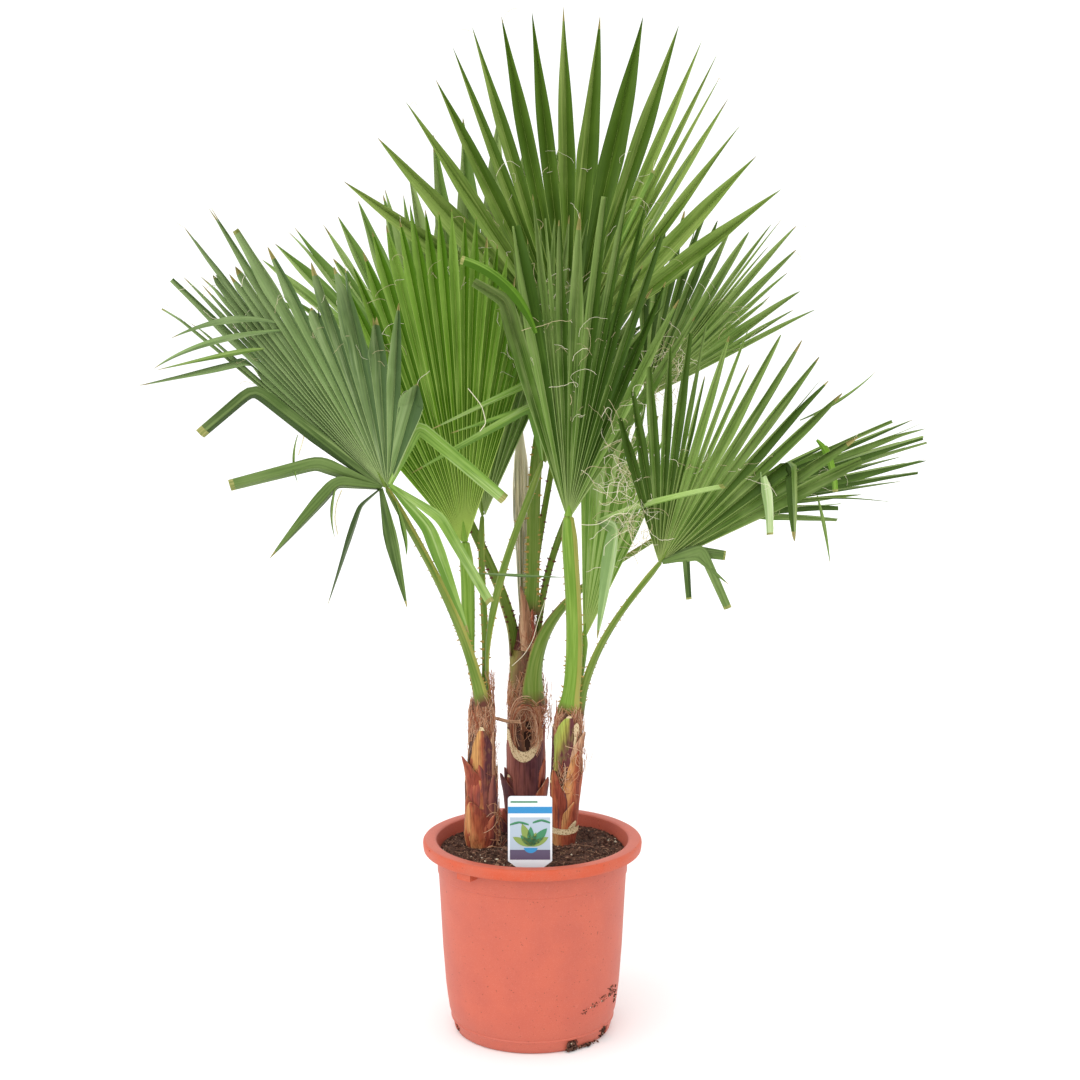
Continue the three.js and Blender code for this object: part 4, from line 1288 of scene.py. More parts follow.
@dataclass
class Petiole:
    """A leaf stalk: channelled above, round below, toothed on both margins, with a short rib in its blade."""

    frond: Frond
    rows: int = 46
    sides: int = 18
    grip: float = 8.0
    sunk: float = 7.0  # how far it starts below the source's foot
    thorn_pitch: float = 8.5
    heap: MeshHeap = field(default_factory=MeshHeap)
    teeth: MeshHeap = field(default_factory=MeshHeap)

    # sides of the outline with the margin's finish: on both margins, and the broad run on a turned stalk
    MARGINS = (0, 8, 9, 17)
    BROAD = {True: (15, 16, 17), False: (9, 10, 11)}
    COSTA_RUN = 400  # where the rib's grain sets out, past the stalk's
    THORN_SEED = 77

    def section(self) -> Array:
        """Returns the outline: a shallow channel over a round back."""
        x, y = ring(self.sides).T
        return np.stack([x, 0.32 + np.where(y < 0, 1.3 * y, -0.34 * y)], -1)

    def build(self) -> None:
        """Builds the stalk, its rib in the blade and its teeth."""
        frond = self.frond
        name, x, y, z, wide, narrow = frond.stalk
        foot = STEMS[name].middle(z) + np.array([x, y, 0.4])
        mid, side = unit(np.array(frond.mid, float)), np.array(frond.side, float)
        hub = np.array(frond.hub, float)
        t = shares(self.rows)
        path = bezier((foot, *frond.bends, hub + mid * self.grip), t)
        path = np.concatenate([[foot - UP * self.sunk], path])
        t = np.concatenate([[0.0], t])
        # the stalk clasps the stem at its foot and turns to the fan's side, its channel up and inwards
        clasp = unit(np.array([-y, x, 0.0]))
        clasp = unit((-clasp if clasp @ side < 0 else clasp) + frond.faced * unit(side))
        heading = unit(np.gradient(path, axis=0))
        across = mix(clasp, unit(side), smooth(t * 1.4)[:, None])
        across = unit(across - heading * (across * heading).sum(1, keepdims=True))
        through = np.cross(heading, across)
        inward = np.array([foot[0] * 0.4, 60.0, 0.0]) - path
        above = UP * 0.8 + unit(inward * [1, 1, 0]) * 0.6
        if (through * above)[len(t) // 4:].sum() < 0:
            across, through = -across, -through
        # half its width and depth, with a swollen foot and a drawn-in upper end
        half = mix(wide * frond.stout[0], narrow * frond.stout[1], np.minimum(1, t * 1.6)) / 2
        deep = np.maximum(3.4, half * mix(0.5, 0.75, t))
        half = half * (1 + 0.28 * (1 - smooth(t * 9))) * (1 - 0.34 * smooth((t - 0.86) / 0.14))
        self._costa(hub, mid, half[-1], deep[-1], across[-1])
        half[-1], deep[-1] = half[-1] * 0.1, deep[-1] * 0.1
        # the rind, with the margin's finish along its edges
        outline, run = self.section(), lengths(path)
        shift = 30 * frond.seed
        grain = paired(outline[None, :, 0] * half[:, None] + shift, run[:, None])
        broad = self.BROAD[bool(across[len(t) // 2][0] > 0)] if frond.turned else ()
        edge = np.isin(np.arange(self.sides), (*self.MARGINS, *broad)).astype(int)
        rings = tube(path, across, through, half, deep, outline)
        self.heap.grid(rings, np.tile(edge, len(path) - 1), grain, wrap=True)
        self._thorns(run, path, heading, across, through, half, deep)

    def _costa(self, hub: Array, mid: Array, half: float, deep: float, across: Array) -> None:
        """Runs the stalk on into the blade as a short tapering rib.

        Args:
            hub, mid: the fan's hub and middle direction.
            half, deep: half the stalk's width and depth at the hub.
            across: its width's direction there.
        """
        t = shares(14)
        path = hub + mid[None] * (self.grip - 2 + t * 78 * self.frond.costa)[:, None]
        taper = (1 - t) ** 0.8 + 0.03
        self.heap.sweep(path, ring(8), half * 0.8 * taper, deep * 0.62 * taper, across, start=self.COSTA_RUN)

    def _thorns(self, run: Array, *rows: Array) -> None:
        """Stands hooked teeth along both margins, thick at the foot and fewer towards the blade.

        Args:
            run: how far along the stalk each of its points lies.
            rows: places, directions and half sizes at those points, in the order of _thorn.
        """
        look = Chance(self.frond.seed + self.THORN_SEED)
        total = run[-1]
        for sign in (-1, 1):
            at = look(12, 24)
            while at < total * 0.9:
                share = at / total
                k = min(int(np.searchsorted(run, at)), len(run) - 1)
                w = (at - run[k - 1]) / max(run[k] - run[k - 1], 1e-6)
                height = look(1.8, 5.0) * (1.15 - 0.6 * share)
                if look() > share * 0.5:
                    spot = [mix(row[k - 1], row[k], w) for row in rows]
                    self._thorn(*spot, sign, height, look(-0.8, 1.0))
                at += self.thorn_pitch * look(0.5, 1.6) * (1 + share)

    def _thorn(self, place: Array, heading: Array, across: Array, through: Array, half: float, deep: float,
               sign: int, height: float, hook: float) -> None:
        """Adds one tooth.

        Args:
            place, heading, across, through: the stalk's middle and directions there.
            half, deep: half the stalk's width and depth there.
            sign: which margin it stands on.
            height: how far it stands out.
            hook: how far its point bends along the stalk.
        """
        out = across * sign
        root = place + out * (half * 0.97) + through * (deep * 0.3)
        long, thin = heading * (height * 0.5), through * (height * 0.24)
        rings = []
        for rise, size, slip in ((-0.8, 1.0, 0.0), (0.35, 0.6, 0.18), (0.8, 0.25, 0.55), (1.0, 0.04, 0.9)):
            middle = root + out * (height * rise) + heading * (height * hook * slip)
            rings.append([middle + side * size for side in (long, thin, -long, -thin)])
        self.teeth.grid(np.array(rings), wrap=True)

    def dress(self) -> None:
        """Makes the stalk and its teeth and stands them in for the node."""
        name, horn = self.frond.name, self.frond.thorns
        rind = (GreenStalk("green_stalk_rind_light", "#668a2a", pale="#8ca848")
                if self.frond.leaf in (Leaf.FRESH, Leaf.YOUNG, Leaf.DEEP)
                else GreenStalk("green_stalk_rind", "#5f7a2a", pale="#869447"))
        margin = GreenStalk("stalk_margin_" + horn.name.lower(),
                            "#8a903c" if horn is Thorns.HORN else "#6c6434", pale="#a8a254")
        settle(self.heap.build(f"leafstalk_{name}", [rind, margin]), "stalk_green", f"stalk_{name}")
        settle(self.teeth.build(f"teeth_{name}", [horn.value]), "stalk_green")


class Skin(IntEnum):
    """Finishes of the stems, in the order of their indices."""

    ORANGE = 0
    PLUM_EDGE = 1
    RED = 2
    CORE = 3
    CUT = 4
    GREEN = 5
    TAN = 6
    PLUM = 7
    HOLLOW_SHADE = 8
    OLIVE = 9


SKINS = (
    DriedHusk("dried_husk_orange", "#b5603f", left="#cf9560", right="#8f4433"),
    DriedHusk("dried_husk_orange_to_plum", "#a3583c", left="#c9955a", right="#5a3035"),
    DriedHusk("dried_husk_red", "#994a3c", left="#b46549", right="#70403c"),
    DriedHusk("dried_husk_core", "#7c543f", left="#9f765a", right="#5c4036"),
    CutHusk("cut_husk_cream", "#d8c49c"),
    DriedHusk("half_dried_husk_green", "#a3a04a", left="#a9b455", right="#6a3a3c"),
    DriedHusk("dried_husk_tan", "#b58465", left="#cda382", right="#966a50"),
    DriedHusk("dried_husk_plum", "#7a4844", left="#9a5d50", right="#5c3439"),
    # painted shade: near-black for the deepest part of a hollow in the core
    Finish("husk_hollow_painted_shade", "#3a241a", 0.95),
    DriedHusk("half_dried_husk_olive", "#7d6440", left="#8b8440", right="#6d4b3a"),
)


@dataclass(frozen=True)
class LeafBase:
    """A dead leaf base that clasps a stem: a curved, tapering shell, most often with a pale cut edge."""

    compass: float  # bearing of its middle, in degrees
    foot: float  # height of its foot
    length: float
    width: float
    flare: float  # how far its top stands off the stem
    skin: Skin
    lean: float = 0.0  # degrees that its top goes round the stem
    top: float = 0.06  # width of its top, as a share of its width
    thick: float = 2.8
    cut: bool = True
    dip: float = 0.0  # how much higher its margins stand than its middle
    bevel: float = 0.0  # height of a broad sloping cut

    ROWS = 24
    COLS = 17
    BEVEL_ROWS = 6
    STRAND_PITCH = 3.1
    SWELL_PITCH = 14.0
    SINK = 3.6  # how far the bases sit inside the source's radius, which takes in their outermost points

    def _shape(self) -> tuple[Array, Array]:
        """Works out how the shell's rows are spaced and how wide they are.

        Returns:
            The share of its height at which each row stands, and its share of the width.
        """
        if self.bevel:
            edge = 1 - self.bevel / self.length
            low = np.linspace(0, edge, self.ROWS - self.BEVEL_ROWS + 1)
            v = np.concatenate([low, np.linspace(edge, 1, self.BEVEL_ROWS)[1:]])
            return v, np.interp(v, (0, 0.3, 1), (0.86, 1, 1))
        v = shares(self.ROWS)
        wide = np.where(v < 0.3, np.interp(v, (0, 0.3), (0.86, 1)),
                        np.maximum(1 - ((v - 0.3) / 0.7) ** 1.7, 0))
        wave = 1 + 0.05 * np.sin(v * 17 + self.compass) + 0.03 * np.sin(v * 43)
        return v, (wide * (1 - self.top) + self.top) * wave

    def build(self, heap: MeshHeap, stem: Stem) -> None:
        """Adds the shell to a heap.

        Args:
            heap: where it goes.
            stem: the stem it clasps.
        """
        v, wide = self._shape()
        u = np.linspace(-1, 1, self.COLS)
        z = self.foot + self.length * v
        radius, middle = stem.radius(z) - self.SINK, stem.middle(z)[:, None] * (1, 1, 0)
        # the shell bends round the stem, leans round it and stands off it
        bend = u[None] * (self.width / 2 * wide / (radius + 3))[:, None]
        turn = np.radians(self.compass + self.lean * v ** 1.5)[:, None] + bend
        lift = (0.8 + self.flare * v ** 1.7)[:, None] - (1.6 * u[None] ** 2) * (1 - 0.7 * v[:, None])
        # strands and swells of its skin, its thickness, and margins that stand higher than its middle
        strand = ripple(bend * radius[:, None], z[:, None], self.STRAND_PITCH, self.compass)
        swell = ripple(bend * radius[:, None], z[:, None] * 2.5, self.SWELL_PITCH, self.foot)
        body = mix(self.thick, self.thick * 0.42, v)[:, None] * (1 - 0.55 * u[None] ** 2)
        if self.bevel:
            body = body * (1 - np.clip((v - 1) * self.length / self.bevel + 1, 0, 1))[:, None]
        arms = np.minimum(np.abs(u) ** 2.2, 0.5)[None]
        tall = z[:, None] + self.dip * arms * smooth(v)[:, None]
        outer, inner = (middle + around(radius[:, None] + lift + depth, turn, tall)
                        for depth in (body + 0.3 * strand + 0.9 * swell, -0.4 * body))
        # one loop round the shell: its outside from margin to margin, then its inside back
        loop = np.concatenate([outer, inner[:, ::-1]], 1)
        cols, side = loop.shape[1], self.COLS - 1
        row, col = np.meshgrid(np.arange(self.ROWS - 1), np.arange(cols), indexing="ij")
        finish = np.where(col < side, self.skin, Skin.CORE)
        finish = np.where(((col == side) | (col == cols - 1)) & (row > 6), Skin.TAN, finish)
        cut_rows = self.BEVEL_ROWS if self.bevel else 2
        finish = np.where((row >= self.ROWS - cut_rows) & self.cut, Skin.CUT, finish)
        over = 50 * np.concatenate([u + 1, u[::-1] + 1])
        heap.grid(loop, finish, paired(over[None], z[:, None]), wrap=True)
        if not self.bevel:
            heap.add(loop[-1], closing(cols), Skin.CUT if self.cut else self.skin)


def flake(*sizes: float, **more: float) -> LeafBase:
    """Returns a leaf base that tore or wore off, so that it has no cut edge."""
    return LeafBase(*sizes, cut=False, **more)


@dataclass(frozen=True)
class FibreMat:
    """A patch of loose fibre on a stem: its bearing and spread, heights, count and how many of them coil."""

    compass: float
    spread: float
    low: float
    high: float
    count: int
    coil: float = 0.0
    stand: float = 3.0
    arch: tuple[float, float] | None = None

    ACROSS = (0.2, 0.3, 0.9)
    DEEPEST = -2.4

    def build(self, heap: MeshHeap, stem: Stem, look: Chance) -> None:
        """Adds the fibres to a heap.

        Args:
            heap: where they go.
            stem: the stem they lie on.
            look: the chance it takes.
        """
        for _ in range(self.count):
            path, thick = (self._arch if self.arch else self._fibre)(stem, look)
            heap.strand(path, thick, self.ACROSS, int(look() * len(FIBRES)))

    def _fibre(self, stem: Stem, look: Chance) -> tuple[Array, float]:
        """Lays one fibre that wanders over the skin.

        Args:
            stem: the stem it lies on.
            look: the chance it takes.

        Returns:
            Its path and half thickness.
        """
        turn, z = self.compass + look(-1, 1) * self.spread, look(self.low, self.high)
        lift, aim = look(self.DEEPEST, self.stand - 3), math.pi / 2 + look(-0.55, 0.55)
        bend, step = look(-0.10, 0.10), look(1.6, 3.0)
        if look() < self.coil:
            aim, bend = look(0, ROUND), look(-0.32, 0.32)
        away = look(0.1, 0.5) if look() < 0.045 else 0.0
        path = []
        for _ in range(13):
            path.append(stem.skin(turn, z, lift))
            turn += math.degrees(step * math.cos(aim) / (stem.radius(z) + lift))
            z += step * math.sin(aim)
            lift = max(self.DEEPEST, lift + away * step + look(-0.25, 0.25))
            aim += bend + look(-0.12, 0.12)
        return np.array(path), look(0.18, 0.42) * (1.6 if self.coil > 0.5 else 1)

    def _arch(self, stem: Stem, look: Chance) -> tuple[Array, float]:
        """Bows one fibre over a hollow at the mat's low height, as wide and high as the arch's sizes.

        Args:
            stem: the stem with the hollow.
            look: the chance it takes.

        Returns:
            Its path and half thickness.
        """
        size, lift = look(0.72, 1.2), look(-2, self.stand)
        begin = look(-0.9, 2.4)
        a = begin + np.linspace(0, look(0.7, 2.0), 14)
        turn = self.compass + np.degrees(self.arch[0] * size * np.cos(a) / stem.radius(self.low))
        z = self.low + self.arch[1] * size * np.sin(a) + np.cumsum([look(-0.5, 0.5) for _ in a])
        path = [stem.skin(t, h, lift + 1.5 * math.sin(k * 0.4)) for k, (t, h) in enumerate(zip(turn, z))]
        return np.array(path), look(0.25, 0.6)


@dataclass
class PalmStem:
    """One stem: a fibrous core, dead leaf bases round it, a torn collar under its stalks and loose fibre."""

    stem: Stem
    bases: tuple[LeafBase, ...]
    mats: tuple[FibreMat, ...]
    collars: tuple[tuple[float, float, Skin], ...]
    hollow_shade: tuple[float, float] | None = None
    sides: int = 72
    heap: MeshHeap = field(default_factory=MeshHeap)
    fibres: MeshHeap = field(default_factory=MeshHeap)

    LOOK_SEED = 991
    RING_PITCH = 14.5
    DENT = (12, 20, 30, 6.5)  # a hollow's depth, half spread in degrees and half height; the depth past which it takes painted shade
    STRIPS = 20  # torn strips round a collar

    def build(self) -> None:
        """Builds core, bases, collars and fibre."""
        self._core()
        for base in self.bases:
            base.build(self.heap, self.stem)
        look = Chance(int(self.stem.at[0]) + self.LOOK_SEED)
        for collar in self.collars:
            self._collar(*collar, look)
        for mat in self.mats:
            mat.build(self.fibres, self.stem, look)

    def _core(self) -> None:
        """Adds the core: stacked old sheaths, ridged up and down, with a ring every 14 mm or so."""
        heights = [r[0] for r in self.stem.rings]
        z = np.unique(np.concatenate([np.arange(heights[0], heights[-1], 3.0), heights]))
        turn = np.linspace(0, ROUND, self.sides, endpoint=False)
        strand = ripple(turn[None] * 26, z[:, None], 3.3, self.stem.at[1])
        step = ((z / self.RING_PITCH + 0.35 * np.sin(z / 31)) % 1)[:, None]
        r = (self.stem.radius(z) - 2.6)[:, None] - 1.2 + 0.5 * strand + 1.1 * step
        deep, spread, tall, dark = self.DENT
        dent = np.zeros_like(r)
        if self.hollow_shade:
            off = (np.degrees(turn)[None] - self.hollow_shade[0] + 180) % 360 - 180
            dent = deep * np.exp(-((off / spread) ** 2) - ((z[:, None] - self.hollow_shade[1]) / tall) ** 2)
        rings = self.stem.middle(z)[:, None] * (1, 1, 0) + around(r - dent, turn, z[:, None])
        # painted shade: the deepest part of the hollow takes a near-black finish
        finish = np.where(dent[:-1] > dark, Skin.HOLLOW_SHADE, Skin.CORE)
        over = 50 + 50 * np.sin(turn * 2 + self.stem.at[0])
        self.heap.grid(rings, finish, paired(over[None], z[:, None]), wrap=True)
        self.heap.add(rings[-1], closing(self.sides), Skin.CORE)

    def _collar(self, z: float, rise: float, skin: Skin, look: Chance) -> None:
        """Adds ragged strips of torn sheath that stand up round the stalks.

        Args:
            z: height of their feet.
            rise: how far most of them stand up.
            skin: their finish.
            look: the chance it takes.
        """
        for k in range(self.STRIPS):
            flake(k * 360 / self.STRIPS + look(-8, 8), z - look(14, 30), look(0.5, 1.4) * rise + 22,
                  look(6, 13), look(0.2, 1.6), skin if look() < 0.6 else Skin.CORE,
                  look(-10, 10), top=0.05, thick=1.1).build(self.heap, self.stem)

    def dress(self) -> None:
        """Makes the stem and its fibre and stands them in for the node."""
        name = self.stem.name
        settle(self.heap.build(f"trunk_{name}", SKINS), "stem_husk", f"stem_{name}")
        settle(self.fibres.build(f"fibre_{name}", FIBRES, crease=None), "stem_husk")


STEM_DRESS = (
    PalmStem(
        STEMS["left"],
        bases=(
            flake(234, 306, 140, 44, 2, Skin.RED, 2), flake(330, 330, 140, 44, 2, Skin.TAN),
            flake(266, 300, 120, 60, 3, Skin.RED, -4), LeafBase(284, 350, 130, 56, 5, Skin.PLUM_EDGE, -14),
            flake(318, 284, 118, 42, 4, Skin.PLUM, 4), flake(268, 277, 84, 68, 7, Skin.ORANGE, -32),
            flake(304, 277, 62, 44, 6, Skin.RED, 10), flake(206, 364, 66, 58, 12, Skin.ORANGE, -9, top=0.1),
            flake(212, 284, 84, 44, 5, Skin.ORANGE, 4), LeafBase(20, 300, 110, 50, 5, Skin.RED),
            LeafBase(70, 340, 120, 48, 4, Skin.ORANGE), LeafBase(125, 360, 116, 46, 5, Skin.PLUM_EDGE),
            LeafBase(160, 292, 100, 50, 6, Skin.RED), LeafBase(110, 284, 90, 56, 7, Skin.ORANGE)),
        mats=(
            FibreMat(262, 100, 452, 492, 200), FibreMat(80, 110, 400, 504, 200),
            FibreMat(330, 30, 500, 545, 60), FibreMat(350, 20, 360, 460, 30, 0.3, 6),
            FibreMat(346, 26, 250, 340, 110, 0.8, 9)),
        collars=((492, 2, Skin.TAN), (504, 2, Skin.TAN))),
    PalmStem(
        STEMS["middle"],
        bases=(
            flake(205, 286, 104, 56, 7, Skin.PLUM, -6), LeafBase(232, 290, 92, 34, 9, Skin.RED, -10),
            LeafBase(264, 292, 128, 72, 4, Skin.PLUM, thick=7.5, dip=66, bevel=16),
            flake(196, 290, 92, 64, 15, Skin.PLUM, 8), flake(222, 244, 82, 60, 13, Skin.RED, -6),
            flake(196, 240, 78, 60, 17, Skin.PLUM, -4), flake(340, 288, 88, 58, 12, Skin.RED, -6),
            flake(322, 288, 116, 60, 6, Skin.RED, 14), flake(345, 330, 130, 56, 4, Skin.PLUM),
            flake(296, 284, 74, 50, 6, Skin.RED, 18), LeafBase(190, 350, 110, 54, 3, Skin.PLUM),
            LeafBase(25, 320, 110, 62, 5, Skin.RED), LeafBase(80, 300, 120, 64, 6, Skin.PLUM),
            LeafBase(140, 330, 120, 60, 6, Skin.RED), LeafBase(100, 390, 110, 60, 4, Skin.CORE),
            flake(246, 496, 84, 84, 3, Skin.OLIVE, top=0.95),
            flake(272, 572, 110, 25, 5, Skin.TAN, -40, top=0.03),
            flake(312, 560, 84, 22, 0, Skin.RED, 4), flake(205, 552, 60, 24, 1, Skin.PLUM, -4)),
        mats=(
            FibreMat(278, 14, 512, 590, 90, 0.3, 4), FibreMat(270, 46, 470, 500, 120, 0.35, 6),
            FibreMat(225, 46, 484, 520, 160, 0.2, 5), FibreMat(300, 40, 512, 560, 60),
            FibreMat(90, 130, 400, 566, 300), FibreMat(290, 60, 590, 620, 40),
            FibreMat(306, 26, 470, 512, 60, 0.7, 12), FibreMat(336, 18, 452, 512, 70, 0.85, 16),
            FibreMat(232, 14, 440, 486, 70, 0.3, 6), FibreMat(306, 14, 440, 490, 70, 0.3, 6),
            FibreMat(268, 0, 456, 0, 230, stand=9, arch=(20, 47))),
        collars=((574, 4, Skin.CORE),),
        hollow_shade=(275, 442)),
    PalmStem(
        STEMS["right"],
        bases=(
            flake(224, 290, 118, 46, 7, Skin.ORANGE), flake(296, 290, 158, 46, 3, Skin.ORANGE, 16),
            flake(262, 284, 92, 36, 2, Skin.RED), flake(284, 282, 76, 40, 6, Skin.ORANGE, 18),
            LeafBase(268, 277, 38, 54, 7, Skin.ORANGE, thick=6, dip=5, bevel=9),
            LeafBase(300, 296, 32, 16, 9, Skin.CUT, 8), LeafBase(210, 290, 100, 44, 5, Skin.RED, -6),
            LeafBase(238, 406, 90, 50, 7, Skin.GREEN, 33), LeafBase(294, 446, 38, 22, 7, Skin.CUT, 4),
            flake(324, 408, 60, 36, 9, Skin.TAN, 6), LeafBase(20, 300, 120, 48, 5, Skin.RED),
            LeafBase(80, 330, 120, 46, 5, Skin.ORANGE), LeafBase(140, 300, 110, 48, 6, Skin.RED),
            LeafBase(175, 376, 100, 40, 4, Skin.PLUM), LeafBase(45, 384, 96, 38, 5, Skin.TAN)),
        mats=(
            FibreMat(266, 24, 368, 402, 44, 0.55, 5), FibreMat(334, 30, 400, 478, 90, 0.1, 5),
            FibreMat(204, 22, 440, 484, 90), FibreMat(304, 24, 468, 486, 50),
            FibreMat(90, 120, 380, 484, 240), FibreMat(330, 22, 400, 440, 22, 0.7, 12)),
        collars=((478, 3, Skin.TAN), (488, 3, Skin.TAN)),
        hollow_shade=(262, 402)),
)


@dataclass
class WitheredSpear:
    """A dead unopened leaf: a bundle of grey strands that leans up beside the crown's stalk."""

    low: Point = (-17, 112, 636)
    top: Point = (-19, 121, 926)
    wide: float = 7.5
    strands: int = 64
    seed: int = 606

    def build(self) -> None:
        """Builds the bundle and stands it in for the node."""
        heap, look = MeshHeap(), Chance(self.seed)
        t = shares(30)
        core = mix(np.array(self.low), np.array(self.top), t[:, None])
        swell = np.interp(t, (0, 0.15, 0.55, 0.85, 1), (0.6, 0.9, 1, 0.75, 0.3)) * self.wide
        swell = swell * np.interp(t, (0, 0.3, 0.75, 1), (0.9, 1.35, 2.5, 2.3))
        heap.sweep(core, ring(12), swell * 0.75, swell * 0.6, (1, 0, 0))
        for _ in range(self.strands):
            turn, spin = look(0, 6.28), look(-0.9, 0.9)
            angle = turn + spin * t
            stop = look(0.6, 1.0)
            flare = 1 + 0.9 * np.maximum(0, t - 0.8) * look(0, 1.5)
            path = core + around(1, angle, 0) * (1, 0.85, 1) * (swell * 0.82 * flare)[:, None]
            path = path[: max(6, int(stop * len(t)))]
            taper = np.interp(shares(len(path)), (0, 0.85, 1), (1, 1, 0.1))
            wide = taper * look(1.2, 2.6)
            heap.sweep(path, ring(4), wide, taper * 0.5, (0, 1, 0), int(look() * 3), caps=False)
        # painted light: the grey and pale are lighter than the dry leaf's own colour, to make up for the
        # shade of the fans in front of it
        piece = heap.build("withered_spear_leaf", [
            Finish("withered_leaf_grey_painted_light", "#e2d8ba", 0.85), Finish("withered_leaf_pale", "#fbf5e4", 0.8),
            Finish("withered_leaf_green", "#8f9660", 0.7)])
        settle(piece, "dry_spear", "spear")


@dataclass
class LeafThreads:
    """Curly threads that the leaflets' margins shed: at the splits, in tangles and singly."""

    heap: MeshHeap = field(default_factory=MeshHeap)

    # middle of a tangle, its half sizes, and the number of threads
    TANGLES = (((147, -150, 866), (20, 9, 80), 80), ((205, 195, 999), (34, 14, 54), 80),
               ((115, -72, 905), (15, 7, 60), 30), ((147, 5, 770), (18, 9, 46), 36),
               ((60, -74, 1040), (9, 5, 90), 15), ((40, 50, 1130), (44, 10, 30), 16))
    # single threads that the eye finds: points and half thickness
    SINGLES = (
        (((20, 55, 668), (9, 60, 635), (1, 62, 603), (-13, 62, 579), (-32, 60, 562)), 0.5),
        (((-335, -182, 972), (-322, -182, 948), (-326, -182, 934), (-331, -182, 920)), 1.1),
        (((-272, -162, 868), (-280, -162, 848), (-283, -162, 826), (-279, -162, 803)), 1.1),
        (((-92, -120, 1010), (-72, -122, 985), (-66, -122, 960), (-75, -122, 948)), 0.6))
    FAN_SEED = 300
    TANGLE_SEED = 888
    STEPS = 15

    def curl(self, start: Array, heading: Array, length: float, bend: float, thick: float,
             look: Chance) -> None:
        """Adds one curling thread.

        Args:
            start, heading: where it begins and which way it sets out.
            length, bend: its length and the radius of its curl.
            thick: half its thickness.
            look: the chance it takes.
        """
        axis, path, aim = look.direction(), [start], unit(heading)
        step = length / self.STEPS
        for _ in range(self.STEPS):
            axis = unit(axis + 0.35 * look.direction())
            aim = unit(aim + np.cross(axis, aim) * (step / bend) + 0.3 * look.direction() + DOWN * 0.03)
            path.append(path[-1] + aim * step)
        self.heap.strand(np.array(path), thick, look.direction(), int(look() < 0.4))

    def build(self, fans: Sequence[Fan]) -> None:
        """Grows the threads of every fan, the tangles and the single threads.

        Args:
            fans: the layouts of the fans.
        """
        for fan in fans:
            look = Chance(fan.frond.seed + self.FAN_SEED)
            for leaf in fan.leaflets:
                spot = fan.web(leaf.left, leaf.left_out)
                for _ in range(1 + int(look() * 2.6)):
                    self.curl(spot, fan.ray(leaf.left) + 0.9 * look.direction(), look(16, 70),
                              look(14, 60), look(0.2, 0.36), look)
                if look() < 0.22:
                    spot = fan.free(leaf)[0][-2]
                    self.curl(spot, fan.ray(leaf.angle) + 0.5 * look.direction(), look(14, 40),
                              look(14, 30), 0.3, look)
        look = Chance(self.TANGLE_SEED)
        for middle, size, count in self.TANGLES:
            for _ in range(count):
                spot = np.array(middle, float) + np.array(size) * [look(-1, 1) for _ in range(3)]
                self.curl(spot, look.direction() + UP * 0.8, look(24, 100), look(16, 70),
                          look(0.25, 0.5), look)
        for points, thick in self.SINGLES:
            t, knots = shares(24), shares(len(points))
            path = np.stack([np.interp(t, knots, row) for row in zip(*points)], -1)
            self.heap.sweep(softened(path, 3), ring(5), thick, thick, (0, 1, 0))

    def dress(self) -> None:
        """Makes one piece of all threads."""
        settle(self.heap.build("margin_threads", THREADS, crease=None), "leaf_green")


